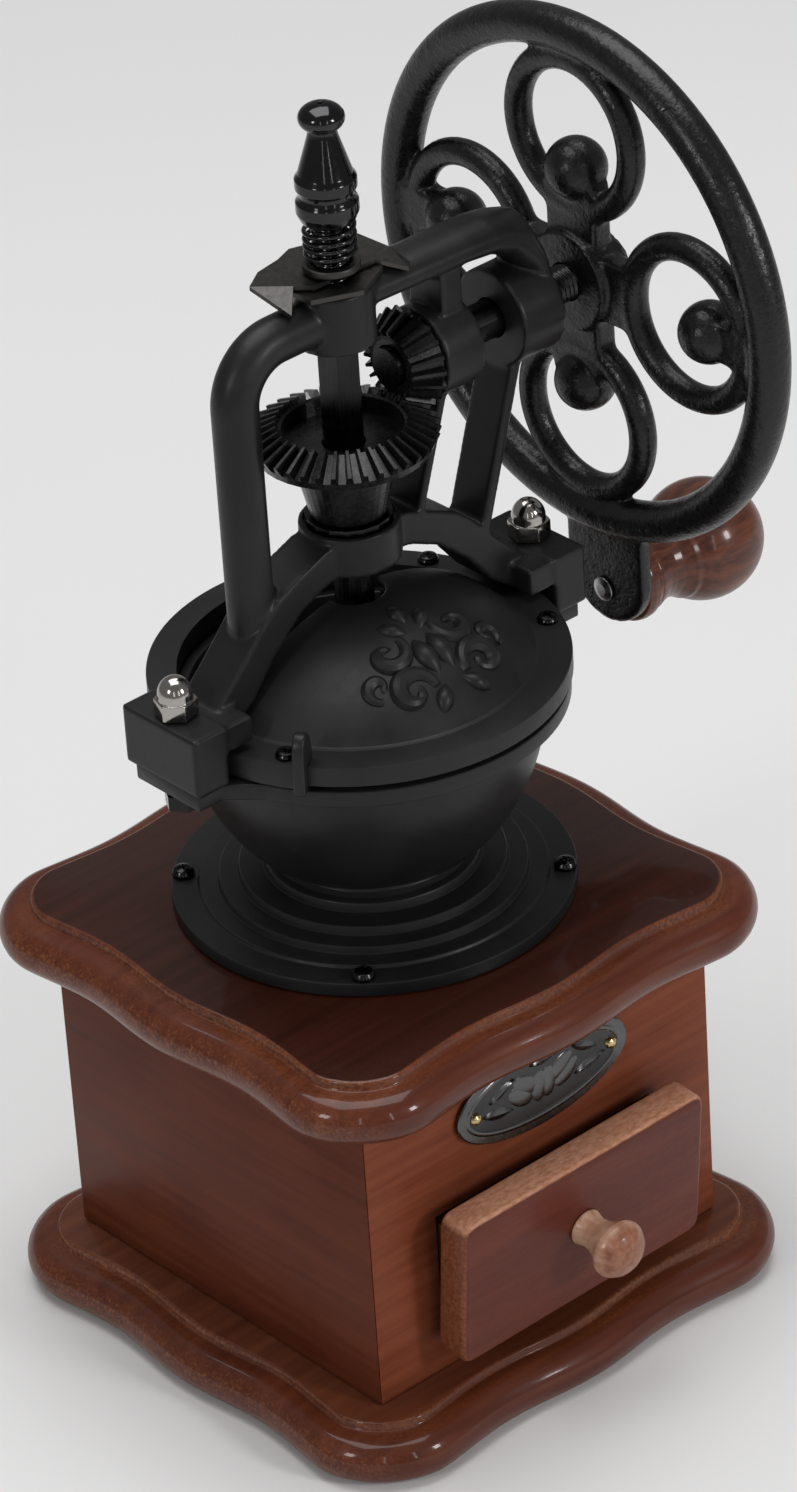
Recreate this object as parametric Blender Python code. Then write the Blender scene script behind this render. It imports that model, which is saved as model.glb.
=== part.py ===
"""Hand-turned burr coffee grinder: wooden drawer base, cast hopper, cast yoke, bevel gears and a flywheel.

Frame: +Z up, origin at the centre of the base board's underside. The drawer opens towards -Y and the
flywheel stands on the +X side. Sizes below are millimetres; MM turns them into metres.
"""
import math

import bmesh
import bpy
from mathutils import Matrix, Vector

MM = 0.001
GAP = 0.3                      # clearance kept between neighbouring pieces
TURN = 2.0 * math.pi

# Wooden box
BOX_HALF = 42.5                # half the width of the square box
WALL = 7.0
BOARD_THICK = 11.0
BASE_HALF = 56.0               # nose of the base board
TOP_HALF = 55.2                # nose of the top board
CORNER_RADIUS = 19.0
WAVE_DEPTH = 1.8               # how far the board's wavy side dips
WAVE_LENGTH = 42.0
TOP_BOARD_Z = 74.3
CHUTE_RADIUS = 13.0

# Drawer
OPENING_HALF = 26.5
OPENING_LOW = 20.3
OPENING_HIGH = 45.0
TRAY_HALF = 25.7
TRAY_LOW = 20.6
TRAY_HIGH = 43.0
TRAY_BACK = 33.0
TRAY_WALL = 3.0
FRONT_HALF = 30.0
FRONT_LOW = 18.7
FRONT_HIGH = 50.5
FRONT_THICK = 7.0
FRONT_GAP_LOW = 2.0            # gap between box and drawer front at its lower edge
FRONT_LEAN = math.radians(5.0)
KNOB_Z = 35.5

# Name plate
PLATE_Z = 62.3
PLATE_HALF_WIDTH = 21.0
PLATE_HALF_HEIGHT = 9.3
PLATE_THICK = 1.2
PLATE_PIN_X = 16.8
PLATE_PIN_HOLE = 0.95           # hole radius

# Hopper, lid and door
FLANGE_Z = 85.6
FLANGE_TOP = 88.4
FLANGE_RADIUS = 37.4
FLANGE_SCREW_RADIUS = 35.2     # distance of the screws from the axis
WOOD_SCREW_HOLE = 1.9
RIM_LOW = 126.0
RIM_TOP = 129.3
RIM_RADIUS = 38.0
RIM_LIP = 31.5
BURR_SEAT_Z = 95.0
LID_RADIUS = 38.5
LID_LOW = 129.6
LID_TOP = 134.4
DOME_BASE = 32.0
DOME_HEIGHT = 14.5
DOME_THICK = 2.0
DOOR_THICK = 1.5
LID_SCREW_RADIUS = 35.4
LID_SCREW_HOLE = 1.3
LID_SCREW_ANGLE = math.radians(27.0)
TAB_ANGLE = math.radians(213.0)
NOTCH_RADIUS = 5.6

# Yoke
EAR_X = 42.5                   # ear bolts
EAR_BOLT_HOLE = 2.3
EAR_OUT = 47.0
EAR_IN = 39.5
EAR_HALF = 10.0
EAR_TOP = 141.3
ARCH_HALF = 4.75
BOSS_RADIUS = 9.2
BOSS_LOW = 155.6
BOSS_TOP = 163.5
COLUMN_X = -24.0
COLUMN_RADIUS = 4.3
COLUMN_FOOT = 146.0
BEND_RADIUS = 10.0
BEAM_Z = 204.5
HUB_RADIUS = 7.2
HUB_LOW = 199.0
HUB_TOP = 210.2

# Drive
AXIS_Z = 188.9                 # flywheel shaft axis and common apex of the bevel gears
CROWN_TEETH = 38
PINION_TEETH = 20
GEAR_MODULE = 0.895
ADDENDUM = 0.8
DEDENDUM = 1.0
TOOTH_ROOT_HALF = 0.72
TOOTH_TIP_HALF = 0.34
SMALL_END = 0.688              # small end of the teeth as a fraction of the large end
SHAFT_RADIUS = 3.6
SPINDLE_SIDE = 5.1
SPINDLE_RADIUS = 3.65

# Flywheel and handle
WHEEL_X = 58.3
RING_RADIUS = 48.1
RING_TUBE = 3.9
LOOP_CENTRE = 28.5
LOOP_RADIUS = 14.6
LOOP_TUBE = 2.6
BALL_RADIUS = 5.8
HANDLE_Z = 125.5
HANDLE_Y = -4.1
LUG_HALF = 10.0
LUG_HALF_THICK = 1.35
LUG_END_RISE = 3.2             # centre of the lug's round end above the rivet

# Adjuster
ROD_RADIUS = 3.3
SPRING_RADIUS = 4.45
SPRING_WIRE = 0.45
SPRING_TURNS = 4.0
SPRING_LOW = 214.9
SPRING_TOP = 222.1
KNOB_LOW = 222.4


def clear_scene():
    for thing in list(bpy.data.objects):
        bpy.data.objects.remove(thing, do_unlink=True)


def surface(name, colour, roughness, metallic):
    material = bpy.data.materials.new(name)
    material.use_nodes = True
    shader = material.node_tree.nodes["Principled BSDF"]
    shader.inputs["Base Color"].default_value = (*colour, 1.0)
    shader.inputs["Roughness"].default_value = roughness
    shader.inputs["Metallic"].default_value = metallic
    return material


def add_object(name, bm, finish):
    """Close a bmesh drawn in millimetres into a named object in metres."""
    bmesh.ops.remove_doubles(bm, verts=bm.verts, dist=0.0005)
    bmesh.ops.scale(bm, vec=(MM, MM, MM), verts=bm.verts)
    bmesh.ops.recalc_face_normals(bm, faces=bm.faces)
    if bm.calc_volume(signed=True) < 0.0:
        bmesh.ops.reverse_faces(bm, faces=bm.faces)
    mesh = bpy.data.meshes.new(name)
    bm.to_mesh(mesh)
    bm.free()
    thing = bpy.data.objects.new(name, mesh)
    bpy.context.scene.collection.objects.link(thing)
    if finish is not None:
        mesh.materials.append(finish)
    return thing


def smooth(thing, degrees=35.0):
    thing.data.shade_smooth()
    thing.data.set_sharp_from_angle(angle=math.radians(degrees))


def move(thing, x=0.0, y=0.0, z=0.0, rotation=None):
    """Turn a mesh about the origin and then shift it, in millimetres."""
    matrix = Matrix.Translation((x * MM, y * MM, z * MM))
    if rotation is not None:
        matrix = matrix @ rotation.to_4x4()
    thing.data.transform(matrix)
    return thing


def boolean(body, tools, operation):
    """Add or cut each tool and keep the result as the body's own mesh."""
    for tool in tools:
        modifier = body.modifiers.new(operation, "BOOLEAN")
        modifier.operation = operation
        modifier.solver = "EXACT"
        modifier.object = tool
    depsgraph = bpy.context.evaluated_depsgraph_get()
    mesh = bpy.data.meshes.new_from_object(body.evaluated_get(depsgraph))
    mesh.name = body.name
    body.modifiers.clear()
    body.data = mesh
    for tool in tools:
        bpy.data.objects.remove(tool, do_unlink=True)
    return body


def union(body, *tools):
    return boolean(body, tools, "UNION")


def cut(body, *tools):
    return boolean(body, tools, "DIFFERENCE")


def loft(rings, closed):
    """Faces between rings of equal length; closed joins the last ring to the first, else both are capped."""
    bm = bmesh.new()
    rows = [[bm.verts.new(point) for point in ring] for ring in rings]
    pairs = list(zip(rows, rows[1:]))
    if closed:
        pairs.append((rows[-1], rows[0]))
    else:
        bm.faces.new(rows[0])
        bm.faces.new(rows[-1])
    for low, high in pairs:
        for i in range(len(low)):
            j = (i + 1) % len(low)
            bm.faces.new((low[i], low[j], high[j], high[i]))
    return bm


def circle(radius, z, steps, phase=0.0):
    angles = [phase + TURN * i / steps for i in range(steps)]
    return [(radius * math.cos(a), radius * math.sin(a), z) for a in angles]


def turned(name, profile, steps, finish, hollow=False):
    """Solid of revolution about Z from (radius, z) points; hollow profiles are loops around a bore."""
    rings = [circle(radius, z, steps) for radius, z in profile]
    thing = add_object(name, loft(rings, hollow), finish)
    smooth(thing)
    return thing


def cylinder(name, radius, low, high, steps=24, finish=None):
    return turned(name, [(radius, low), (radius, high)], steps, finish)


def prism(name, outline, low, high, finish=None):
    """Extrude an (x, y) outline along Z."""
    rings = [[(x, y, z) for x, y in outline] for z in (low, high)]
    return add_object(name, loft(rings, False), finish)


def box(name, low, high, finish=None):
    outline = [(low[0], low[1]), (high[0], low[1]), (high[0], high[1]), (low[0], high[1])]
    return prism(name, outline, low[2], high[2], finish)


def plate_xz(name, outline, y_low, y_high, finish=None):
    """Extrude an (x, z) outline along Y."""
    rings = [[(x, y, z) for x, z in outline] for y in (y_low, y_high)]
    return add_object(name, loft(rings, False), finish)


def tube(name, path, radius, sides, closed=False, finish=None):
    """Round tube along a path of points."""
    points = [Vector(p) for p in path]
    count = len(points)
    rings = []
    side = None
    for i, point in enumerate(points):
        before = points[i - 1] if i > 0 or closed else point
        after = points[(i + 1) % count] if i < count - 1 or closed else point
        ahead = (after - before).normalized()
        if side is None:
            side = ahead.orthogonal().normalized()
        side = (side - ahead * side.dot(ahead)).normalized()
        other = ahead.cross(side)
        angles = [TURN * k / sides for k in range(sides)]
        rings.append([point + radius * (math.cos(a) * side + math.sin(a) * other) for a in angles])
    thing = add_object(name, loft(rings, closed), finish)
    smooth(thing, 50.0)
    return thing


def torus(name, major, minor, major_steps, minor_steps):
    """Ring about Z, centred on the origin."""
    angles = [TURN * k / minor_steps for k in range(minor_steps)]
    profile = [(major + minor * math.cos(a), minor * math.sin(a)) for a in angles]
    return turned(name, profile, major_steps, None, hollow=True)


def ball(name, radius, steps=16, rings=8):
    """Closed ball centred on the origin."""
    bm = bmesh.new()
    bmesh.ops.create_uvsphere(bm, u_segments=steps, v_segments=rings, radius=radius)
    return add_object(name, bm, None)


def arc(cx, cz, radius_r, radius_z, start, end, steps):
    """(r, z) points on an ellipse arc, angles in degrees."""
    points = []
    for i in range(steps + 1):
        a = math.radians(start + (end - start) * i / steps)
        points.append((cx + radius_r * math.cos(a), cz + radius_z * math.sin(a)))
    return points


def sphere_radius(radius, centre, z):
    return math.sqrt(radius * radius - (z - centre) ** 2)


ALONG_X = Matrix.Rotation(math.radians(90.0), 3, "Y")      # turns +Z into +X
TOWARDS_FRONT = Matrix.Rotation(math.radians(90.0), 3, "X")  # turns +Z into -Y


# ---------------------------------------------------------------- wooden box

def board_outline(half, inset):
    """Square board with round corner lobes and wavy sides, shrunk inwards by inset."""
    straight = half - CORNER_RADIUS
    side_steps = 8
    corner_steps = 5
    points = []
    for quarter in range(4):
        turn = quarter * math.pi / 2.0
        for i in range(side_steps):
            along = -straight + 2.0 * straight * i / side_steps
            points.append(wave_point(along, half, 0.0, turn, along, inset))
        for i in range(corner_steps):
            angle = math.pi / 2.0 * i / corner_steps
            points.append(wave_point(straight, half, angle, turn, None, inset))
    return points


def wave_point(along, half, angle, turn, wave_at, inset):
    """One outline point on the -Y side or on the corner that follows it, then turned to its quarter."""
    centre_y = -(half - CORNER_RADIUS)
    x = along + CORNER_RADIUS * math.sin(angle)
    y = centre_y - CORNER_RADIUS * math.cos(angle)
    normal = (math.sin(angle), -math.cos(angle))
    nearest = min(abs(x), abs(y)) if wave_at is None else abs(wave_at)
    dip = 0.0
    if nearest < WAVE_LENGTH:
        dip = WAVE_DEPTH / 2.0 * (1.0 - math.cos(TURN * nearest / WAVE_LENGTH))
    x -= normal[0] * (dip + inset)
    y -= normal[1] * (dip + inset)
    return (x * math.cos(turn) - y * math.sin(turn), x * math.sin(turn) + y * math.cos(turn))


def board(name, half, low, finish):
    """Moulded board: bull nose, a ledge, and a raised flat top."""
    nose = 4.65
    step_inset = 6.3
    profile = [(inset, z) for inset, z in arc(nose, nose, -nose, nose, -90.0, 90.0, 4)]
    profile.append((step_inset, 2.0 * nose))
    profile.append((step_inset + 0.5, BOARD_THICK))
    rings = [[(x, y, low + z) for x, y in board_outline(half, inset)] for inset, z in profile]
    thing = add_object(name, loft(rings, False), finish)
    smooth(thing)
    return thing


def box_walls(finish):
    """Four mitred boards between the base board and the top board."""
    low = BOARD_THICK + GAP
    high = TOP_BOARD_Z - GAP
    mitre = GAP * math.sqrt(2.0) / 2.0
    outer = BOX_HALF
    inner = BOX_HALF - WALL
    outline = [(-outer + mitre, -outer), (outer - mitre, -outer),
               (inner - mitre, -inner), (-inner + mitre, -inner)]
    walls = {}
    for i, name in enumerate(("front_panel", "side_right", "back_panel", "side_left")):
        wall = prism(name, outline, low, high, finish)
        walls[name] = move(wall, rotation=Matrix.Rotation(i * math.pi / 2.0, 3, "Z"))
    front = walls["front_panel"]
    opening = box("opening", (-OPENING_HALF, -BOX_HALF - 5.0, OPENING_LOW),
                  (OPENING_HALF, -inner + 5.0, OPENING_HIGH))
    pin_holes = []
    for side in (-1, 1):
        hole = cylinder("pin_hole", PLATE_PIN_HOLE, 0.0, 10.0, 8)
        pin_holes.append(move(hole, side * PLATE_PIN_X, -BOX_HALF + 5.5, PLATE_Z, TOWARDS_FRONT))
    cut(front, opening, *pin_holes)


def drawer_runners(finish):
    """Two strips inside the box that the tray slides on."""
    reach = BOX_HALF - WALL - GAP
    for name, side in (("drawer_runner_left", -1), ("drawer_runner_right", 1)):
        across = sorted((side * reach, side * (reach - 14.0)))
        box(name, (across[0], -reach, OPENING_LOW - 6.0), (across[1], reach, OPENING_LOW), finish)


def drawer_frame():
    """Rotation of the drawer front, which leans out at the top."""
    return Matrix.Rotation(FRONT_LEAN, 3, "X")


def front_back_face(z):
    """y of the drawer front's back face at height z."""
    return -BOX_HALF - FRONT_GAP_LOW - (z - FRONT_LOW) * math.tan(FRONT_LEAN)


def drawer_front(finish):
    """Panel with rounded edges, built flat and then leaned about its lower back edge."""
    height = (FRONT_HIGH - FRONT_LOW) / math.cos(FRONT_LEAN)
    radius = 4.0
    edge = 1.2
    outline = []
    for x, z, start in ((1, 0, -90.0), (1, 1, 0.0), (-1, 1, 90.0), (-1, 0, 180.0)):
        cx = x * (FRONT_HALF - radius)
        cz = radius if z == 0 else height - radius
        outline.append((cx, cz, start))
    rings = []
    for depth, inset in ((0.0, 0.3), (0.3, 0.0), (FRONT_THICK - edge, 0.0),
                         (FRONT_THICK - edge * 0.3, edge * 0.3), (FRONT_THICK, edge)):
        ring = []
        for cx, cz, start in outline:
            for px, pz in arc(cx, cz, radius - inset, radius - inset, start, start + 90.0, 4):
                ring.append((px, -depth, pz))
        rings.append(ring)
    panel = add_object("drawer_front", loft(rings, False), finish)
    hole = cylinder("hole", 2.1, -2.0, FRONT_THICK + 2.0, 12)
    cut(panel, move(hole, z=KNOB_Z - FRONT_LOW, rotation=TOWARDS_FRONT))
    smooth(panel)
    move(panel, 0.0, front_back_face(FRONT_LOW), FRONT_LOW, drawer_frame())


def place_on_front(thing):
    """Put a piece turned about Z onto the drawer front's knob axis, z = 0 at its back face."""
    move(thing, 0.0, 0.0, KNOB_Z - FRONT_LOW, TOWARDS_FRONT)
    return move(thing, 0.0, front_back_face(FRONT_LOW), FRONT_LOW, drawer_frame())


def drawer_knob(finish, steel):
    face = FRONT_THICK + GAP
    profile = [(1.8, face), (3.8, face), (3.3, face + 1.6), (3.1, face + 3.0), (3.5, face + 4.8),
               (4.4, face + 6.6)]
    profile += arc(0.0, face + 8.6, 5.8, 4.1, -10.0, 70.0, 5)
    profile += [(0.6, face + 12.8), (0.5, face + 9.5), (1.8, face + 9.0)]
    place_on_front(turned("drawer_knob", profile, 16, finish, hollow=True))
    screw = [(0.1, -2.2), (2.6, -2.0), (3.4, -0.9), (3.4, -GAP), (1.5, -GAP),
             (1.5, face + 7.5), (0.1, face + 8.6)]
    place_on_front(turned("drawer_knob_screw", screw, 10, steel))


def drawer_tray(finish):
    """Bottom, two sides and a back behind the leaning front."""
    floor = TRAY_LOW + 2.5

    def side_outline(low, high, back):
        front_low = front_back_face(low) + GAP
        front_high = front_back_face(high) + GAP
        return [(front_low, low), (back, low), (back, high), (front_high, high)]

    def slab(name, x_low, x_high, outline):
        rings = [[(x, y, z) for y, z in outline] for x in (x_low, x_high)]
        add_object(name, loft(rings, False), finish)

    slab("drawer_bottom", -TRAY_HALF, TRAY_HALF, side_outline(TRAY_LOW, floor, TRAY_BACK))
    walls = side_outline(floor + GAP, TRAY_HIGH, TRAY_BACK)
    slab("drawer_side_left", -TRAY_HALF, -TRAY_HALF + TRAY_WALL, walls)
    slab("drawer_side_right", TRAY_HALF - TRAY_WALL, TRAY_HALF, walls)
    inner = TRAY_HALF - TRAY_WALL - GAP
    box("drawer_back", (-inner, TRAY_BACK - TRAY_WALL, floor + GAP), (inner, TRAY_BACK, TRAY_HIGH), finish)


def name_plate(gunmetal, brass):
    """Oval plate with a raised rim, held by two domed pins."""
    steps = 32
    rings = []
    for inset, height in ((0.0, 0.0), (0.0, PLATE_THICK), (0.9, PLATE_THICK), (1.4, PLATE_THICK - 0.5)):
        y = -BOX_HALF - GAP - height
        ring = []
        for i in range(steps):
            a = TURN * i / steps
            ring.append(((PLATE_HALF_WIDTH - inset) * math.cos(a), y,
                         PLATE_Z + (PLATE_HALF_HEIGHT - inset) * math.sin(a)))
        rings.append(ring)
    plate = add_object("name_plate", loft(rings, False), gunmetal)
    holes = []
    for side in (-1, 1):
        hole = cylinder("hole", PLATE_PIN_HOLE, -2.0, 8.0, 8)
        holes.append(move(hole, side * PLATE_PIN_X, -BOX_HALF + 3.0, PLATE_Z, TOWARDS_FRONT))
    cut(plate, *holes)
    head = PLATE_THICK + GAP
    profile = [(0.1, -5.0), (0.6, -4.6), (0.6, head), (1.3, head), (1.15, head + 0.5),
               (0.7, head + 0.9), (0.1, head + 1.0)]
    for name, side in (("plate_pin_left", -1), ("plate_pin_right", 1)):
        pin = turned(name, profile, 10, brass)
        move(pin, side * PLATE_PIN_X, -BOX_HALF, PLATE_Z, TOWARDS_FRONT)


# ---------------------------------------------------------------- hopper

def ring_places(radius, angles):
    return [(radius * math.cos(a), radius * math.sin(a)) for a in angles]


def flange_screw_places():
    return ring_places(FLANGE_SCREW_RADIUS, [TURN * (k + 0.5) / 4.0 for k in range(4)])


def lid_screw_places():
    a = LID_SCREW_ANGLE
    return ring_places(LID_SCREW_RADIUS, [a, math.pi - a, math.pi + a, -a])


def ear_outline(side):
    """Ear of the bowl's rim, from inside the rim out past the bolt."""
    inner = RIM_RADIUS - 2.0
    outline = [(side * 46.0, -8.6), (side * 46.0, 8.6), (side * 40.5, 8.6), (side * 35.0, 14.2)]
    for degrees in (21.0, 10.0, 0.0, -10.0, -21.0):
        a = math.radians(degrees)
        outline.append((side * inner * math.cos(a), inner * math.sin(a)))
    outline.append((side * 35.0, -14.2))
    outline.append((side * 40.5, -8.6))
    return outline


def hopper_bowl(finish):
    """Stepped flange, neck, bowl and rim in one casting, open from rim to chute."""
    profile = [(12.2, FLANGE_Z), (FLANGE_RADIUS, FLANGE_Z), (FLANGE_RADIUS, FLANGE_TOP), (32.4, FLANGE_TOP),
               (32.2, 89.0), (28.7, 89.0), (28.5, 90.5), (24.9, 90.5), (24.7, 92.3), (20.1, 92.3),
               (19.9, 94.1), (18.2, 94.8), (17.4, 96.4), (19.6, 97.5), (22.2, 98.7)]
    profile += arc(0.0, 127.0, 33.5, 37.8, -40.0, -2.0, 4)
    profile += [(RIM_RADIUS, RIM_LOW), (RIM_RADIUS, RIM_TOP), (RIM_LIP, RIM_TOP)]
    profile += arc(0.0, RIM_TOP, 31.2, 27.4, -6.0, -64.0, 5)
    profile += [(13.3, 104.6), (13.3, BURR_SEAT_Z), (12.2, BURR_SEAT_Z)]
    bowl = turned("hopper_bowl", profile, 28, finish, hollow=True)
    tools = []
    for side in (-1, 1):
        tools.append(prism("ear", ear_outline(side), RIM_LOW + 0.05, RIM_TOP - 0.05))
    union(bowl, *tools)
    holes = []
    for side in (-1, 1):
        holes.append(move(cylinder("hole", EAR_BOLT_HOLE, 120.0, 135.0, 12), side * EAR_X))
    for x, y in flange_screw_places():
        holes.append(move(cylinder("hole", WOOD_SCREW_HOLE, 80.0, 95.0, 10), x, y))
    for x, y in lid_screw_places():
        holes.append(move(cylinder("hole", LID_SCREW_HOLE, 127.0, 135.0, 8), x, y))
    cut(bowl, *holes)
    smooth(bowl)


def screws(finish):
    """Pan-head screws for the flange and the lid."""
    wood = [(0.1, -10.5), (1.5, -8.0), (1.5, GAP), (2.2, GAP), (2.2, 1.0), (1.5, 1.7), (0.1, 1.9)]
    for i, (x, y) in enumerate(flange_screw_places()):
        move(turned(f"flange_screw_{i + 1}", wood, 12, finish), x, y, FLANGE_TOP)
    small = [(0.1, -6.6), (0.95, -6.0), (0.95, GAP), (2.1, GAP), (2.1, 0.8), (1.3, 1.4), (0.1, 1.6)]
    for i, (x, y) in enumerate(lid_screw_places()):
        move(turned(f"lid_screw_{i + 1}", small, 10, finish), x, y, LID_TOP)


def flange_screw_pilots(board_object):
    """Chute hole and pilot holes in the top board."""
    holes = [cylinder("hole", CHUTE_RADIUS, 70.0, 90.0, 24)]
    for x, y in flange_screw_places():
        holes.append(move(cylinder("hole", WOOD_SCREW_HOLE, 76.0, 90.0, 8), x, y))
    cut(board_object, *holes)
    smooth(board_object)


def dome_sphere():
    """Radius and centre height of the sphere that the lid's half dome lies on."""
    radius = (DOME_BASE ** 2 + DOME_HEIGHT ** 2) / (2.0 * DOME_HEIGHT)
    return radius, LID_TOP + DOME_HEIGHT - radius


def sphere_profile(radius, centre, r_from, r_to, steps):
    """(r, z) points on a sphere between two distances from the axis."""
    points = []
    for i in range(steps + 1):
        r = r_from + (r_to - r_from) * i / steps
        points.append((r, centre + math.sqrt(radius * radius - r * r)))
    return points


def lid(finish):
    """Ring with a fixed half dome over the front and an open back."""
    radius, centre = dome_sphere()
    inner = radius - DOME_THICK
    groove = 131.0
    hole = NOTCH_RADIUS
    profile = [(33.5, LID_LOW), (LID_RADIUS, LID_LOW), (LID_RADIUS, LID_TOP)]
    profile += sphere_profile(radius, centre, DOME_BASE, hole, 5)
    profile += sphere_profile(inner, centre, hole, sphere_radius(inner, centre, groove), 5)
    profile += [(33.5, groove)]
    thing = turned("lid", profile, 28, finish, hollow=True)
    opening = DOME_BASE + 0.9
    steps = 25
    half = [(opening * math.cos(math.pi * i / steps), 0.05 + opening * math.sin(math.pi * i / steps))
            for i in range(steps + 1)]
    back = prism("back", half, 125.0, 160.0)
    slot = []
    for i in range(11):
        a = math.radians(210.5 + (329.5 - 210.5) * i / 10)
        slot.append((32.8 * math.cos(a), 32.8 * math.sin(a)))
    for i in range(11):
        a = math.radians(329.5 - (329.5 - 210.5) * i / 10)
        slot.append((41.0 * math.cos(a), 41.0 * math.sin(a)))
    tools = [back, prism("slot", slot, 128.0, groove + 0.1)]
    for x, y in lid_screw_places():
        tools.append(move(cylinder("hole", LID_SCREW_HOLE, 125.0, 140.0, 8), x, y))
    cut(thing, *tools)
    smooth(thing)


def lid_door(finish):
    """Half-dome shell under the fixed one, with a finger tab that comes out below the lid's ring."""
    radius, centre = dome_sphere()
    outer = radius - DOME_THICK - 0.45
    inner = outer - DOOR_THICK
    hole = NOTCH_RADIUS + 0.2
    low = LID_LOW + 0.05
    high = 130.65
    profile = sphere_profile(inner, centre, hole, sphere_radius(inner, centre, high) - 0.6, 5)
    profile += [(profile[-1][0], low), (33.1, low), (33.1, high)]
    profile += sphere_profile(outer, centre, sphere_radius(outer, centre, high), hole, 5)
    steps = 16
    rings = []
    for i in range(steps + 1):
        a = math.radians(182.0 + 176.0 * i / steps)
        rings.append([(r * math.cos(a), r * math.sin(a), z) for r, z in profile])
    door = add_object("lid_door", loft(rings, False), finish)
    tab = [(32.0, low + 0.1), (41.0, low + 0.1), (41.0, 135.6)]
    tab += arc(38.1, 137.4, 2.7, 3.9, 0.0, 140.0, 5)
    tab += [(35.0, 136.2), (35.0, LID_TOP + GAP), (LID_RADIUS + GAP, LID_TOP + GAP),
            (LID_RADIUS + GAP, high - 0.1), (32.0, high - 0.1)]
    fin = plate_xz("fin", tab, -1.1, 1.1)
    move(fin, rotation=Matrix.Rotation(TAB_ANGLE, 3, "Z"))
    union(door, fin)
    smooth(door)


# ---------------------------------------------------------------- yoke

def arch_outline():
    """Right half of the arch in (x, z), upper edge outwards and lower edge back."""
    upper = [(0.0, 161.9), (9.6, 161.9), (15.8, 159.5), (21.4, 156.8), (25.0, 153.8),
             (28.3, 150.2), (33.5, 144.8), (38.0, 140.6), (44.0, 140.6)]
    lower = [(44.0, 136.2), (33.3, 136.2), (28.3, 139.9), (23.4, 146.0), (16.5, 152.1), (10.3, 154.9),
             (0.0, 156.6)]
    return upper + lower


def mirrored(outline):
    return [(-x, z) for x, z in outline]


def yoke(finish):
    """Arch, bolted ears, round side column, top beam, two shaft bosses and two ribs as one casting."""
    body = cylinder("yoke", BOSS_RADIUS, BOSS_LOW, BOSS_TOP, 28, finish)
    pieces = [plate_xz("arch_right", arch_outline(), -ARCH_HALF, ARCH_HALF),
              plate_xz("arch_left", mirrored(arch_outline()), -ARCH_HALF, ARCH_HALF)]
    for side in (-1, 1):
        outer = sorted((side * EAR_IN, side * EAR_OUT))
        inner = sorted((side * 33.3, side * 40.5))
        pieces.append(box("ear", (outer[0], -EAR_HALF, LID_LOW), (outer[1], EAR_HALF, EAR_TOP)))
        pieces.append(box("ear_step", (inner[0], -EAR_HALF + 0.4, 136.0), (inner[1], EAR_HALF - 0.4, 141.0)))
    pieces.append(left_column())
    pieces.append(cylinder("top_hub", HUB_RADIUS, HUB_LOW, HUB_TOP, 24))
    pieces.append(top_beam())
    pieces.append(move(cylinder("inner_boss", 8.7, 18.0, 27.0, 24), z=AXIS_Z, rotation=ALONG_X))
    pieces.append(move(cylinder("outer_boss", 9.3, 36.0, 46.0, 24), z=AXIS_Z, rotation=ALONG_X))
    pieces.append(box("neck", (21.0, -4.5, 195.0), (26.0, 4.5, 206.0)))
    pieces.append(rib("rib_inner", (12.4, 158.0), (20.4, 182.5), 1.7))
    pieces.append(rib("rib_outer", (27.8, 149.0), (38.3, 182.5), 2.3))
    union(body, *pieces)
    holes = [cylinder("bore", SPINDLE_RADIUS + GAP, 150.0, 170.0, 20),
             cylinder("recess", 8.4, BOSS_TOP - 0.8, 170.0, 24),
             cylinder("rod_bore", ROD_RADIUS + GAP, 190.0, 215.0, 20),
             move(cylinder("shaft_bore", SHAFT_RADIUS + GAP, 10.0, 50.0, 20), z=AXIS_Z, rotation=ALONG_X)]
    for side in (-1, 1):
        holes.append(move(cylinder("hole", EAR_BOLT_HOLE, 125.0, 150.0, 12), side * EAR_X))
    cut(body, *holes)
    smooth(body)


def left_column():
    """Round bar from the arch up, bent over and run into the top hub."""
    path = [(COLUMN_X, 0.0, COLUMN_FOOT), (COLUMN_X, 0.0, 170.0)]
    bend = arc(COLUMN_X + BEND_RADIUS, BEAM_Z - BEND_RADIUS, BEND_RADIUS, BEND_RADIUS, 180.0, 90.0, 6)
    path += [(x, 0.0, z) for x, z in bend]
    path.append((-2.0, 0.0, BEAM_Z))
    return tube("column", path, COLUMN_RADIUS, 14)


def top_beam():
    """Rounded beam from the hub over the bosses, curving down at its outer end."""
    sections = [(2.0, 207.0, 5.0, 3.2), (17.0, 207.0, 5.6, 3.3), (33.0, 206.8, 5.8, 3.4),
                (38.5, 205.4, 6.0, 4.2), (42.5, 202.0, 6.2, 6.5), (45.6, 196.0, 6.2, 6.5)]
    rings = []
    for x, z, half_y, half_z in sections:
        ring = []
        for i in range(12):
            a = TURN * i / 12
            ring.append((x, half_y * math.cos(a), z + half_z * math.sin(a)))
        rings.append(ring)
    return add_object("beam", loft(rings, False), None)


def rib(name, foot, head, thick):
    """Plate that faces along X, from the arch up to a boss."""
    half = thick / 2.0
    outline = [(foot[0] - half, foot[1]), (foot[0] + half, foot[1]),
               (head[0] + half, head[1]), (head[0] - half, head[1])]
    return plate_xz(name, outline, -4.6, 4.6)


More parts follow.
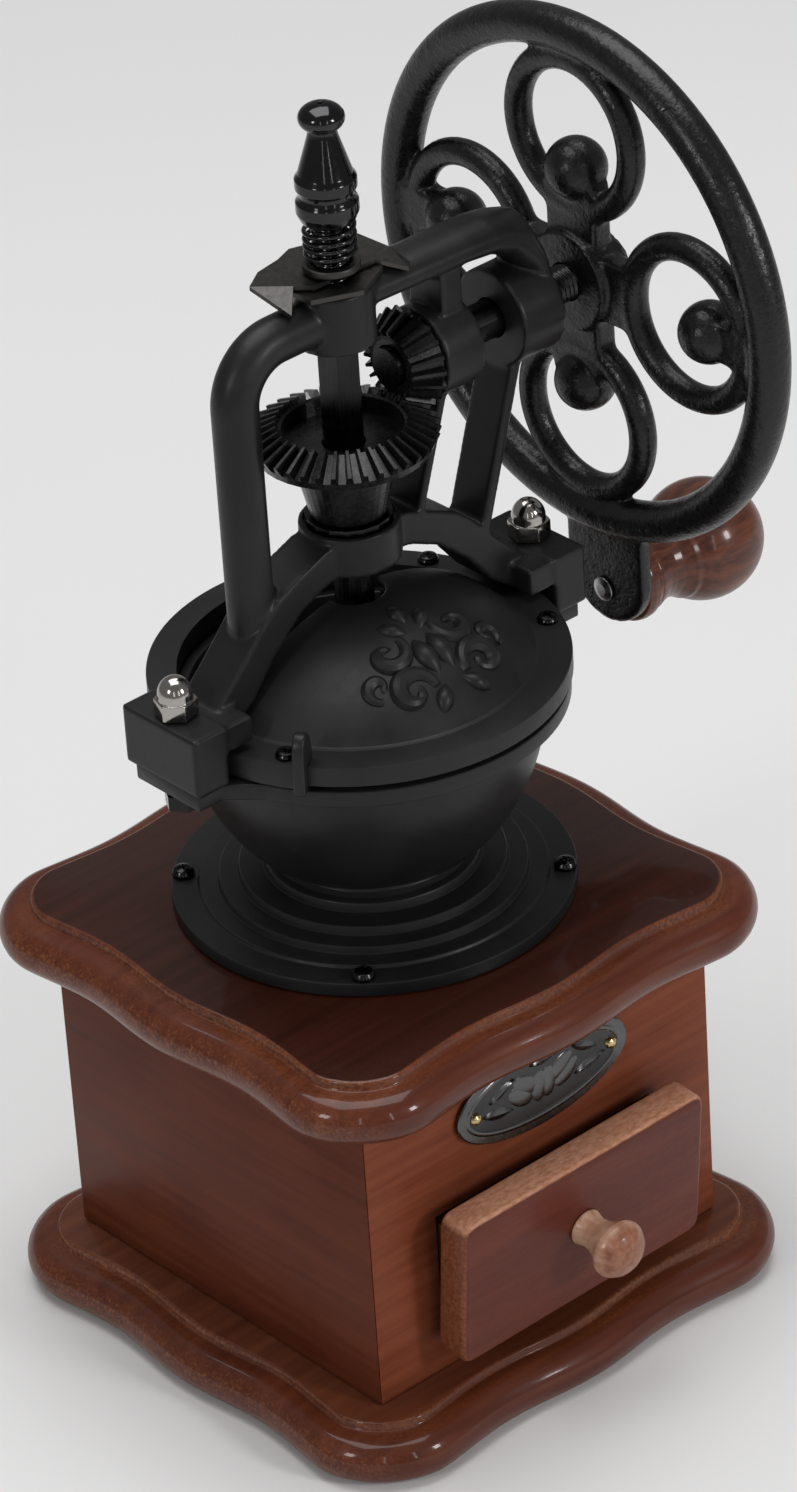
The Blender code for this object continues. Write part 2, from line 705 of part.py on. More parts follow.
def ear_fasteners(black, nickel):
    """Hex bolt from below and cap nut on top of each ear."""
    for name, side in (("left", -1), ("right", 1)):
        bolt = cylinder(f"ear_bolt_{name}", 2.0, RIM_LOW - 2.0, EAR_TOP + 5.0, 12, black)
        union(bolt, cylinder("head", 3.6, RIM_LOW - 3.1, RIM_LOW - GAP, 6))
        move(bolt, side * EAR_X)
        profile = [(2.3, 0.0), (3.3, 0.0), (3.3, 3.0)]
        profile += arc(0.0, 3.9, 3.2, 3.6, 0.0, 84.0, 5)
        profile += [(0.3, 6.4), (2.3, 5.6)]
        nut = turned(f"cap_nut_{name}", profile, 12, nickel, hollow=True)
        union(nut, hex_ring())
        smooth(nut)
        move(nut, side * EAR_X, 0.0, EAR_TOP + GAP)


def hex_ring():
    """Hexagon of the cap nut around its thread."""
    flat = 7.0
    body = cylinder("hex", flat / math.sqrt(3.0), 0.05, 3.1, 6)
    cut(body, cylinder("hole", 2.6, -1.0, 5.0, 12))
    return body


# ---------------------------------------------------------------- drive

def bevel_gear(name, teeth, pitch_radius, pitch_depth, back, front, finish):
    """Toothed cone around +Z with its apex at the origin; every tooth edge runs to the apex.

    pitch_depth is the distance of the pitch circle from the apex. back and front are (radius, depth)
    points from the teeth's large and small ends in to the bore.
    """
    slant = math.hypot(pitch_radius, pitch_depth)
    normal = (pitch_depth / slant, -pitch_radius / slant)
    root = (pitch_radius - DEDENDUM * normal[0], pitch_depth - DEDENDUM * normal[1])
    tip = (pitch_radius + ADDENDUM * normal[0], pitch_depth + ADDENDUM * normal[1])
    corners = ((root, -TOOTH_ROOT_HALF), (tip, -TOOTH_TIP_HALF),
               (tip, TOOTH_TIP_HALF), (root, TOOTH_ROOT_HALF))
    bm = bmesh.new()
    large = []
    small = []
    for i in range(teeth):
        for (r, z), half in corners:
            a = TURN * i / teeth + half / pitch_radius
            point = Vector((r * math.cos(a), r * math.sin(a), z))
            large.append(bm.verts.new(point))
            small.append(bm.verts.new(point * SMALL_END))
    count = len(large)
    for i in range(count):
        j = (i + 1) % count
        bm.faces.new((large[i], large[j], small[j], small[i]))
    back_rings = [[bm.verts.new(p) for p in circle(r, z, teeth, -TURN / teeth / 2.0)] for r, z in back]
    front_rings = [[bm.verts.new(p) for p in circle(r, z, teeth, -TURN / teeth / 2.0)] for r, z in front]
    for edge, ring in ((large, back_rings[0]), (small, front_rings[0])):
        for i in range(teeth):
            j = (i + 1) % teeth
            tooth = edge[4 * i:4 * i + 4]
            bm.faces.new((ring[i], *tooth, ring[j]))
            bm.faces.new((tooth[3], edge[4 * j], ring[j]))
    chain = list(reversed(back_rings)) + [None] + front_rings
    for low, high in zip(chain, chain[1:] + chain[:1]):
        if low is None or high is None:
            continue
        for i in range(teeth):
            j = (i + 1) % teeth
            bm.faces.new((low[i], low[j], high[j], high[i]))
    return add_object(name, bm, finish)


def crown_gear(finish):
    """Large gear, teeth upwards, on a tapering hub; its gap at +X takes a pinion tooth."""
    bore = SPINDLE_RADIUS + GAP
    radius = GEAR_MODULE * CROWN_TEETH / 2.0
    depth = GEAR_MODULE * PINION_TEETH / 2.0
    back = [(16.0, 11.3), (9.6, 12.6), (9.3, 14.0), (7.0, AXIS_Z - 165.1), (bore, AXIS_Z - 165.1)]
    front = [(11.0, 7.1), (10.9, 10.2), (bore, 10.3)]
    gear = bevel_gear("crown_gear", CROWN_TEETH, radius, depth, back, front, finish)
    half_tooth = Matrix.Rotation(TURN / CROWN_TEETH / 2.0, 3, "Z")
    down = Matrix.Rotation(math.pi, 3, "X")
    move(gear, z=AXIS_Z, rotation=down @ half_tooth)
    smooth(gear, 25.0)


def pinion(finish):
    """Small gear on the flywheel shaft, with a tooth straight down."""
    bore = SHAFT_RADIUS + GAP
    radius = GEAR_MODULE * PINION_TEETH / 2.0
    depth = GEAR_MODULE * CROWN_TEETH / 2.0
    back = [(7.2, 17.7), (bore, 17.7)]
    front = [(4.9, 12.1), (bore, 12.1)]
    gear = bevel_gear("pinion", PINION_TEETH, radius, depth, back, front, finish)
    move(gear, z=AXIS_Z, rotation=ALONG_X)
    smooth(gear, 25.0)


def spindle(finish):
    """Round bar with squared lengths above the crown gear and below the yoke."""
    side = SPINDLE_SIDE / 2.0
    shaft = cylinder("spindle", SPINDLE_RADIUS, 148.0, 183.0, 20, finish)
    lower = box("lower", (-side, -side, 93.0), (side, side, 150.0))
    upper = box("upper", (-side, -side, 181.0), (side, side, 198.5))
    end = cylinder("end", ROD_RADIUS, 197.8, 203.0, 16)
    union(shaft, lower, upper, end)
    cut(shaft, cylinder("tapped", 1.7, 90.0, 101.0, 10))
    smooth(shaft)


def gear_washer(finish):
    profile = [(4.2, 163.1), (7.9, 163.1), (7.9, 164.6), (4.2, 164.6)]
    turned("gear_washer", profile, 16, finish, hollow=True)


def fluted(name, steps, outer, inner, finish, inside):
    """Burr with straight flutes: outer and inner are (radius, z, tooth depth) sections."""
    rings = []
    for radius, z, depth in outer + inner:
        ring = []
        for i in range(steps):
            a = TURN * i / steps
            r = radius + (depth if i % 2 else 0.0)
            ring.append((r * math.cos(a), r * math.sin(a), z))
        rings.append(ring)
    burr = add_object(name, loft(rings, inside), finish)
    smooth(burr, 20.0)
    return burr


def burrs(finish, steel):
    """Fixed outer ring burr in the neck and the cone burr that turns inside it."""
    outside = [(13.0, BURR_SEAT_Z + GAP, 0.0), (13.0, 104.4, 0.0)]
    inside = [(12.2, 104.4, -0.8), (10.3, 99.0, -0.6), (9.9, BURR_SEAT_Z + GAP, -0.3)]
    fluted("outer_burr", 32, outside, inside, finish, True)
    cone = [(8.9, BURR_SEAT_Z + GAP, 0.2), (8.4, 99.0, 0.4), (5.6, 106.5, 0.8), (4.6, 107.0, 0.0)]
    body = fluted("inner_burr", 24, cone, [], finish, False)
    reach = SPINDLE_SIDE / 2.0 + GAP
    cut(body, box("hole", (-reach, -reach, 90.0), (reach, reach, 110.0)))
    smooth(body, 20.0)
    screw = [(0.1, 89.6), (3.6, 89.8), (4.4, 91.0), (4.4, 92.7), (1.4, 92.7), (1.4, 99.8), (0.1, 100.2)]
    turned("burr_screw", screw, 12, steel)


def wheel_shaft(finish):
    """Round shaft through both bosses, threaded at its outer end."""
    shaft = cylinder("wheel_shaft", SHAFT_RADIUS, 10.8, 64.0, 20, finish)
    move(shaft, z=AXIS_Z, rotation=ALONG_X)


def flywheel(finish):
    """Rim, four loops with ball ends, crossed arms, hub and the handle's lug, cast in one."""
    wheel = torus("flywheel", RING_RADIUS, RING_TUBE, 40, 8)
    move(wheel, rotation=Matrix.Rotation(math.radians(1.3), 3, "Z"))
    wheel.data.materials.append(finish)
    pieces = []
    for i in range(4):
        a = i * math.pi / 2.0
        cx = LOOP_CENTRE * math.cos(a)
        cy = LOOP_CENTRE * math.sin(a)
        loop = torus("loop", LOOP_RADIUS, LOOP_TUBE, 18, 6)
        pieces.append(move(loop, cx, cy, 0.02 * i, Matrix.Rotation(a + math.radians(3.7), 3, "Z")))
    for i in range(4):
        a = i * math.pi / 2.0
        upright = i % 2 == 0
        reach = 21.5 if upright else 33.2
        turn = Matrix.Rotation(a, 3, "Z")
        pieces.append(move(ball("ball", BALL_RADIUS, 12, 6), reach * math.cos(a), reach * math.sin(a)))
        arm_end = 20.0 if upright else 15.0
        pieces.append(move(box("arm", (2.0, -6.0, -2.3), (arm_end, 6.0, 2.3)), rotation=turn))
        if not upright:
            pieces.append(move(box("stem", (34.0, -3.6, -2.2), (44.0, 3.6, 2.2)), rotation=turn))
    pieces.append(cylinder("hub", 9.6, -4.0, 4.0, 20))
    lug_x = HANDLE_Z - AXIS_Z
    lug_y = -HANDLE_Y
    lug = [(-45.0, lug_y + LUG_HALF), (-45.0, lug_y - LUG_HALF)]
    lug += [(lug_x + LUG_END_RISE + LUG_HALF * math.cos(t), lug_y + LUG_HALF * math.sin(t))
            for t in [math.radians(-90.0 - 15.0 * k) for k in range(13)]]
    pieces.append(prism("lug", lug, -LUG_HALF_THICK, LUG_HALF_THICK))
    union(wheel, *pieces)
    cut(wheel, cylinder("bore", SHAFT_RADIUS + GAP, -10.0, 10.0, 16),
        move(cylinder("rivet_hole", 1.9, -5.0, 5.0, 12), lug_x, lug_y))
    stand_up = Matrix(((0.0, 0.0, 1.0), (0.0, -1.0, 0.0), (1.0, 0.0, 0.0)))
    move(wheel, WHEEL_X, 0.0, AXIS_Z, stand_up)
    smooth(wheel, 50.0)


def wheel_nut(finish):
    """Domed nut that closes the hub on the outer side."""
    profile = [(3.9, 62.6), (6.2, 62.6), (6.2, 64.2), (5.4, 65.6), (3.0, 66.4), (0.3, 66.6), (0.3, 64.9),
               (3.9, 64.5)]
    move(turned("wheel_nut", profile, 14, finish, hollow=True), z=AXIS_Z, rotation=ALONG_X)


def handle(wood, steel):
    """Turned grip on a long rivet through the flywheel's lug."""
    start = WHEEL_X + LUG_HALF_THICK + GAP
    profile = [(1.9, start), (6.5, start), (8.1, start + 0.9), (8.5, start + 2.8), (8.0, start + 4.8),
               (7.1, start + 6.2), (6.9, start + 8.4), (7.2, start + 10.6)]
    profile += arc(0.0, start + 21.8, 11.7, 12.0, -48.0, 72.0, 7)
    profile += [(2.6, start + 33.6), (2.6, start + 31.4), (1.9, start + 31.4)]
    move(turned("handle_grip", profile, 18, wood, hollow=True), y=HANDLE_Y, z=HANDLE_Z, rotation=ALONG_X)
    back = WHEEL_X - LUG_HALF_THICK - GAP
    pin = [(0.1, back - 1.0), (1.8, back - 0.8), (2.6, back - 0.2), (2.6, back), (1.6, back),
           (1.6, start + 31.7), (2.2, start + 31.7), (2.2, start + 32.8), (0.1, start + 33.1)]
    move(turned("handle_pin", pin, 12, steel), y=HANDLE_Y, z=HANDLE_Z, rotation=ALONG_X)


# ---------------------------------------------------------------- adjuster

def adjuster(black_nickel, steel, plate_steel):
    """Screw and knob over the spindle, with a spring that holds the locking plate down."""
    cylinder("adjusting_rod", ROD_RADIUS, 203.3, 231.0, 20, steel)
    profile = [(3.6, KNOB_LOW), (4.7, KNOB_LOW), (5.6, 224.5), (5.6, 226.6), (5.2, 227.3), (5.2, 228.4),
               (5.5, 229.0), (5.5, 230.7), (4.9, 231.6), (2.6, 238.8)]
    profile += arc(0.0, 242.0, 4.15, 2.8, -50.0, 80.0, 6)
    profile += [(0.3, 233.0), (3.6, 231.3)]
    turned("adjusting_knob", profile, 16, black_nickel, hollow=True)
    spring_path = []
    steps = 10
    height = SPRING_TOP - SPRING_LOW - 2.0 * SPRING_WIRE
    for i in range(int(SPRING_TURNS * steps) + 1):
        a = TURN * i / steps
        share = i / (SPRING_TURNS * steps)
        z = SPRING_LOW + SPRING_WIRE + height * share
        spring_path.append((SPRING_RADIUS * math.cos(a), SPRING_RADIUS * math.sin(a), z))
    tube("adjusting_spring", spring_path, SPRING_WIRE, 5, finish=steel)
    cup = [(3.7, 212.9), (4.9, 212.9), (5.2, 213.3), (5.2, 214.6), (3.7, 214.6)]
    turned("spring_cup", cup, 16, steel, hollow=True)
    locking_plates(plate_steel)


def bent_sheet(name, points, faces, thick, finish):
    """Closed sheet of constant thickness below a set of faces given by point index."""
    bm = bmesh.new()
    top = [bm.verts.new(p) for p in points]
    under = [bm.verts.new((x, y, z - thick)) for x, y, z in points]
    edges = {}
    for face in faces:
        bm.faces.new([top[i] for i in face])
        bm.faces.new([under[i] for i in reversed(face)])
        for a, b in zip(face, face[1:] + face[:1]):
            key = (min(a, b), max(a, b))
            edges[key] = edges.get(key, 0) + 1
    for (a, b), uses in edges.items():
        if uses == 1:
            bm.faces.new((top[a], top[b], under[b], under[a]))
    return add_object(name, bm, finish)


def locking_plates(finish):
    """Flat stop plate on the hub and the sprung locking plate with two claws above it."""
    top = 212.6
    points = [(-13.8, 6.0, top), (-9.3, 9.0, top), (-3.8, 10.0, top), (0.2, 11.6, top), (12.2, 7.6, top),
              (12.6, -1.0, top), (7.6, -2.6, top), (-6.2, -2.4, top), (-8.6, 0.4, top),
              (-12.4, -3.2, 209.6), (14.0, -4.6, 210.4), (12.6, -5.8, 210.2)]
    faces = [[0, 1, 2, 3, 4, 5, 6, 7, 8], [0, 8, 9], [5, 10, 11, 6]]
    plate = bent_sheet("locking_plate", points, faces, 0.8, finish)
    cut(plate, cylinder("hole", ROD_RADIUS + GAP, 205.0, 220.0, 16))
    outline = [(-8.7, -4.2), (0.0, -8.2), (8.2, -4.0), (9.6, 5.6), (0.0, 8.6), (-8.8, 5.4)]
    stop = prism("stop_plate", outline, HUB_TOP + GAP, HUB_TOP + 1.2, finish)
    cut(stop, cylinder("hole", ROD_RADIUS + GAP, 205.0, 220.0, 16))


# ---------------------------------------------------------------- assembly

JOINT_EMPTIES = {
    "wheel_axis": ((0.0, 0.0, AXIS_Z), ("wheel_shaft", "pinion", "flywheel", "wheel_nut", "handle_pin")),
    "spindle_axis": ((0.0, 0.0, AXIS_Z), ("spindle", "crown_gear", "gear_washer", "inner_burr",
                                          "burr_screw")),
    "handle_axis": ((WHEEL_X, HANDLE_Y, HANDLE_Z), ("handle_grip",)),
    "drawer_axis": ((0.0, -BOX_HALF, KNOB_Z), ("drawer_front", "drawer_bottom", "drawer_side_left",
                                               "drawer_side_right", "drawer_back", "drawer_knob",
                                               "drawer_knob_screw")),
    "door_axis": ((0.0, 0.0, LID_LOW), ("lid_door",)),
    "adjuster_axis": ((0.0, 0.0, HUB_TOP), ("adjusting_knob", "adjusting_rod")),
    "lock_axis": ((0.0, 0.0, HUB_TOP), ("locking_plate", "spring_cup", "adjusting_spring")),
}


def hang_on_axes():
    """Give each moving piece its origin on its joint's axis, under a parent empty."""
    for name, (place, pieces) in JOINT_EMPTIES.items():
        axis = bpy.data.objects.new(name, None)
        axis.location = [c * MM for c in place]
        bpy.context.scene.collection.objects.link(axis)
        for piece in pieces:
            thing = bpy.data.objects[piece]
            thing.data.transform(Matrix.Translation(-axis.location))
            thing.parent = axis


def build():
    clear_scene()
    varnish = surface("varnished_wood", (0.16, 0.04, 0.018), 0.3, 0.0)
    front_wood = surface("drawer_wood", (0.24, 0.07, 0.03), 0.35, 0.0)
    pale_wood = surface("pale_wood", (0.62, 0.38, 0.2), 0.5, 0.0)
    grip_wood = surface("grip_wood", (0.26, 0.09, 0.045), 0.3, 0.0)
    casting = surface("black_casting", (0.02, 0.02, 0.021), 0.45, 0.0)
    wheel_paint = surface("wheel_paint", (0.012, 0.012, 0.013), 0.28, 0.0)
    gear_steel = surface("gear_steel", (0.03, 0.03, 0.032), 0.35, 0.6)
    steel = surface("steel", (0.35, 0.35, 0.36), 0.35, 1.0)
    black_screw = surface("black_screw", (0.02, 0.02, 0.022), 0.3, 0.7)
    nickel = surface("nickel", (0.75, 0.72, 0.68), 0.15, 1.0)
    black_nickel = surface("black_nickel", (0.06, 0.06, 0.065), 0.12, 1.0)
    gunmetal = surface("gunmetal", (0.12, 0.12, 0.12), 0.35, 1.0)
    brass = surface("brass", (0.7, 0.48, 0.2), 0.3, 1.0)
    plate_steel = surface("plate_steel", (0.2, 0.2, 0.2), 0.35, 1.0)

    board("base_board", BASE_HALF, 0.0, varnish)
    flange_screw_pilots(board("top_board", TOP_HALF, TOP_BOARD_Z, varnish))
    box_walls(varnish)
    drawer_runners(pale_wood)
    drawer_front(front_wood)
    drawer_tray(pale_wood)
    drawer_knob(pale_wood, steel)
    name_plate(gunmetal, brass)
    hopper_bowl(casting)
    screws(black_screw)
    burrs(gear_steel, steel)
    lid(casting)
    lid_door(casting)
    yoke(casting)
    ear_fasteners(black_screw, nickel)
    spindle(steel)
    crown_gear(gear_steel)
    gear_washer(steel)
    wheel_shaft(steel)
    pinion(gear_steel)
    flywheel(wheel_paint)
    wheel_nut(wheel_paint)
    handle(grip_wood, steel)
    adjuster(black_nickel, steel, plate_steel)
    hang_on_axes()


build()
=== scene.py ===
"""Looks of the hand coffee grinder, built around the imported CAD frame.

Lengths are millimetres in the drawing functions; MM turns them into the frame's metres.
The frame's origin is the centre of the base board's underside, with the drawer towards -Y.
"""
import math

import bmesh
import bpy
from mathutils import Matrix, Vector


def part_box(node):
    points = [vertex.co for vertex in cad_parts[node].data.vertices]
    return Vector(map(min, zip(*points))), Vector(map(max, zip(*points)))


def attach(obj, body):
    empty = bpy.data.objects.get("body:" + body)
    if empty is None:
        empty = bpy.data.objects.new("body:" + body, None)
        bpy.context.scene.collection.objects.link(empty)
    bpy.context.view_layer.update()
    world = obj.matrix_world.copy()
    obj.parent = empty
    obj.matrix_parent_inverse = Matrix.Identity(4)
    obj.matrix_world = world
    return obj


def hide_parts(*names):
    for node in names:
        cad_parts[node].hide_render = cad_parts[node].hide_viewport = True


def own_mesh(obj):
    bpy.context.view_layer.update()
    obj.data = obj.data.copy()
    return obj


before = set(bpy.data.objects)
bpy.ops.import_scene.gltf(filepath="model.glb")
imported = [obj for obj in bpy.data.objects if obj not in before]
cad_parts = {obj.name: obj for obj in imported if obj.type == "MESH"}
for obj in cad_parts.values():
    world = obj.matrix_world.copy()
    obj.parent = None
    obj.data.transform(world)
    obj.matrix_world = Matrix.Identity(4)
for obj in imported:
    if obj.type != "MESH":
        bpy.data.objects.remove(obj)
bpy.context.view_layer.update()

MM = 0.001
TURN = 2.0 * math.pi


# ---------------------------------------------------------------- places read from the frame

def node_box(name):
    """Lowest and highest corner of a CAD node, in millimetres."""
    low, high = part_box(name)
    return [c / MM for c in low], [c / MM for c in high]


BASE_LOW, BASE_HIGH = node_box("base_board")
TOP_LOW, TOP_HIGH = node_box("top_board")
LEFT_LOW, LEFT_HIGH = node_box("side_left")
FRONT_LOW, FRONT_HIGH = node_box("drawer_front")
PLATE_LOW, PLATE_HIGH = node_box("name_plate")
BOWL_LOW, BOWL_HIGH = node_box("hopper_bowl")
LID_HIGH = node_box("lid")[1]
SHAFT_LOW, SHAFT_HIGH = node_box("wheel_shaft")
KNOB_LOW = node_box("adjusting_knob")[0]
SPRING_LOW, SPRING_HIGH = node_box("adjusting_spring")
NUT_LOW = node_box("cap_nut_left")[0]
GRIP_LOW, GRIP_HIGH = node_box("handle_grip")

# Places worked out from the boxes, then lengths that they don't give.
BOX_HALF = -LEFT_LOW[0]
AXIS_Z = (SHAFT_LOW[2] + SHAFT_HIGH[2]) / 2.0
HANDLE_Z = (GRIP_LOW[2] + GRIP_HIGH[2]) / 2.0
HANDLE_Y = (GRIP_LOW[1] + GRIP_HIGH[1]) / 2.0
LUG_HALF = 10.0
WHEEL_X = 58.3
KNOB_RIM_DEPTH = 4.6
KNOB_RIM_Y = node_box("drawer_knob")[0][1] + KNOB_RIM_DEPTH
FRONT_LEAN = 5.0
FRONT_THICK = 7.0
WALL_THICK = 7.0
EAR_BOLT_X = 42.5
COLUMN_X = 24.0
BALL_RADIUS = 5.9


# ---------------------------------------------------------------- mesh tools

def object_from(name, bm, material=None, angle=40.0):
    """Object in metres from a bmesh drawn in millimetres, smooth apart from edges over the angle."""
    bmesh.ops.remove_doubles(bm, verts=bm.verts, dist=0.0005)
    bmesh.ops.recalc_face_normals(bm, faces=bm.faces)
    if bm.calc_volume(signed=True) < 0.0:
        bmesh.ops.reverse_faces(bm, faces=bm.faces)
    bmesh.ops.scale(bm, vec=(MM, MM, MM), verts=bm.verts)
    mesh = bpy.data.meshes.new(name)
    bm.to_mesh(mesh)
    bm.free()
    thing = bpy.data.objects.new(name, mesh)
    bpy.context.scene.collection.objects.link(thing)
    mesh.shade_smooth()
    mesh.set_sharp_from_angle(angle=math.radians(angle))
    if material is not None:
        mesh.materials.append(material)
    return thing


def resmooth(thing, angle=40.0):
    """Smooth shading apart from edges over the angle."""
    thing.data.shade_smooth()
    thing.data.set_sharp_from_angle(angle=math.radians(angle))
    return thing


def move(thing, x=0.0, y=0.0, z=0.0, rotation=None):
    """Turn a mesh about the origin, then shift it, in millimetres."""
    matrix = Matrix.Translation((x * MM, y * MM, z * MM))
    if rotation is not None:
        matrix = matrix @ rotation.to_4x4()
    thing.data.transform(matrix)
    return thing


def finish(thing, material):
    """Give a mesh one material and nothing else."""
    thing.data.materials.clear()
    thing.data.materials.append(material)
    return thing


def settle(thing):
    """Apply every modifier of an object to its mesh."""
    depsgraph = bpy.context.evaluated_depsgraph_get()
    mesh = bpy.data.meshes.new_from_object(thing.evaluated_get(depsgraph))
    thing.modifiers.clear()
    thing.data = mesh
    return thing


def boolean(body, tools, operation):
    """Apply exact booleans with the tools, which are used up."""
    for tool in tools:
        modifier = body.modifiers.new(operation, "BOOLEAN")
        modifier.operation = operation
        modifier.solver = "EXACT"
        modifier.object = tool
    settle(body)
    for tool in tools:
        bpy.data.objects.remove(tool, do_unlink=True)
    return body


def union(body, *tools):
    return boolean(body, tools, "UNION")


def cut(body, *tools):
    return boolean(body, tools, "DIFFERENCE")


def join(body, *others):
    """Put the meshes of other objects into body as loose shells."""
    bm = bmesh.new()
    bm.from_mesh(body.data)
    for other in others:
        bm.from_mesh(other.data)
        bpy.data.objects.remove(other, do_unlink=True)
    bm.to_mesh(body.data)
    bm.free()
    return body


def bevel(thing, width, segments=2, limit=35.0):
    """Round the edges over the limit angle."""
    modifier = thing.modifiers.new("bevel", "BEVEL")
    modifier.width = width * MM
    modifier.segments = segments
    modifier.limit_method = "ANGLE"
    modifier.angle_limit = math.radians(limit)
    settle(thing)
    return resmooth(thing, 50.0)


def cast(name, pieces, voxel, rounds, material):
    """Melt overlapping solids into one casting with soft inner corners."""
    body = join(pieces[0], *pieces[1:])
    body.name = name
    remesh = body.modifiers.new("melt", "REMESH")
    remesh.mode = "VOXEL"
    remesh.voxel_size = voxel * MM
    soften = body.modifiers.new("soften", "SMOOTH")
    soften.factor = 0.5
    soften.iterations = rounds
    settle(body)
    body.data.shade_smooth()
    return finish(body, material)


def loft(rings, closed):
    """Skin a row of rings, closed on itself or capped at both ends."""
    bm = bmesh.new()
    rows = [[bm.verts.new(point) for point in ring] for ring in rings]
    pairs = list(zip(rows, rows[1:]))
    if closed:
        pairs.append((rows[-1], rows[0]))
    else:
        bm.faces.new(rows[0])
        bm.faces.new(rows[-1])
    for low, high in pairs:
        for i in range(len(low)):
            j = (i + 1) % len(low)
            bm.faces.new((low[i], low[j], high[j], high[i]))
    return bm


def rounded(points, radius, steps=3, closed=True):
    """Outline with its corners rounded; the radius shrinks where a side is short."""
    result = []
    count = len(points)
    for i, point in enumerate(points):
        here = Vector(point)
        if not closed and i in (0, count - 1):
            result.append(tuple(here))
            continue
        before = Vector(points[i - 1]) - here
        after = Vector(points[(i + 1) % count]) - here
        turn = before.angle(-after, 0.0)
        reach = min(radius * math.tan(turn / 2.0), before.length * 0.45, after.length * 0.45)
        if turn < math.radians(12.0) or reach < 0.01:
            result.append(tuple(here))
            continue
        start = here + before.normalized() * reach
        end = here + after.normalized() * reach
        for k in range(steps + 1):
            t = k / steps
            result.append(tuple((1 - t) ** 2 * start + 2 * t * (1 - t) * here + t * t * end))
    return result


def turned(name, profile, material=None, steps=72, hollow=False, round_by=0.25, angle=40.0):
    """Solid of revolution about Z from (radius, z) points."""
    outline = rounded(profile, round_by, closed=hollow) if round_by else profile
    rings = []
    for radius, z in outline:
        rings.append([(radius * math.cos(TURN * k / steps), radius * math.sin(TURN * k / steps), z)
                      for k in range(steps)])
    return object_from(name, loft(rings, hollow), material, angle)


def rod(name, radius, low, high, steps):
    """Plain cylinder along Z with sharp ends."""
    return turned(name, [(radius, low), (radius, high)], steps=steps, round_by=0.0)


def prism(name, outline, low, high, material=None):
    """Outline in XY, raised along Z."""
    rings = [[(x, y, z) for x, y in outline] for z in (low, high)]
    return object_from(name, loft(rings, False), material)


def plate_xz(name, outline, y_low, y_high, material=None):
    """Outline in XZ, thickened along Y."""
    rings = [[(x, y, z) for x, z in outline] for y in (y_low, y_high)]
    return object_from(name, loft(rings, False), material)


def block(name, low, high):
    outline = [(low[0], low[1]), (high[0], low[1]), (high[0], high[1]), (low[0], high[1])]
    return prism(name, outline, low[2], high[2])


def tube(name, path, radii, sides, material=None):
    """Round tube along a path; radii is one number or one for each point."""
    points = [Vector(p) for p in path]
    count = len(points)
    sizes = [radii] * count if isinstance(radii, (int, float)) else radii
    rings = []
    side = None
    for i, point in enumerate(points):
        before = points[max(i - 1, 0)]
        after = points[min(i + 1, count - 1)]
        ahead = (after - before).normalized()
        if side is None:
            side = ahead.orthogonal().normalized()
        side = (side - ahead * side.dot(ahead)).normalized()
        other = ahead.cross(side)
        ring = []
        for k in range(sides):
            a = TURN * k / sides
            ring.append(point + sizes[i] * (math.cos(a) * side + math.sin(a) * other))
        rings.append(ring)
    return object_from(name, loft(rings, False), material, 50.0)


def torus(name, major, minor, steps, sides):
    profile = [(major + minor * math.cos(TURN * k / sides), minor * math.sin(TURN * k / sides))
               for k in range(sides)]
    return turned(name, profile, steps=steps, hollow=True, round_by=0.0)


def ball(name, radius, x=0.0, y=0.0, squash=(1.0, 1.0, 1.0)):
    steps = 32
    bm = bmesh.new()
    bmesh.ops.create_uvsphere(bm, u_segments=steps, v_segments=steps // 2, radius=radius)
    bmesh.ops.scale(bm, vec=squash, verts=bm.verts)
    bmesh.ops.translate(bm, vec=(x, y, 0.0), verts=bm.verts)
    return object_from(name, bm)


def arc(cx, cz, radius_r, radius_z, start, end, steps):
    """Points of an elliptical arc from start to end, in degrees."""
    points = []
    for i in range(steps + 1):
        a = math.radians(start + (end - start) * i / steps)
        points.append((cx + radius_r * math.cos(a), cz + radius_z * math.sin(a)))
    return points


ALONG_X = Matrix.Rotation(math.radians(90.0), 3, "Y")
TOWARDS_FRONT = Matrix.Rotation(math.radians(90.0), 3, "X")


def stands_for(piece, body, slot, *nodes):
    """Make a piece ride on a body and take the place of CAD nodes."""
    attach(piece, body)
    if nodes:
        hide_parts(*nodes)
    return piece


# ---------------------------------------------------------------- materials

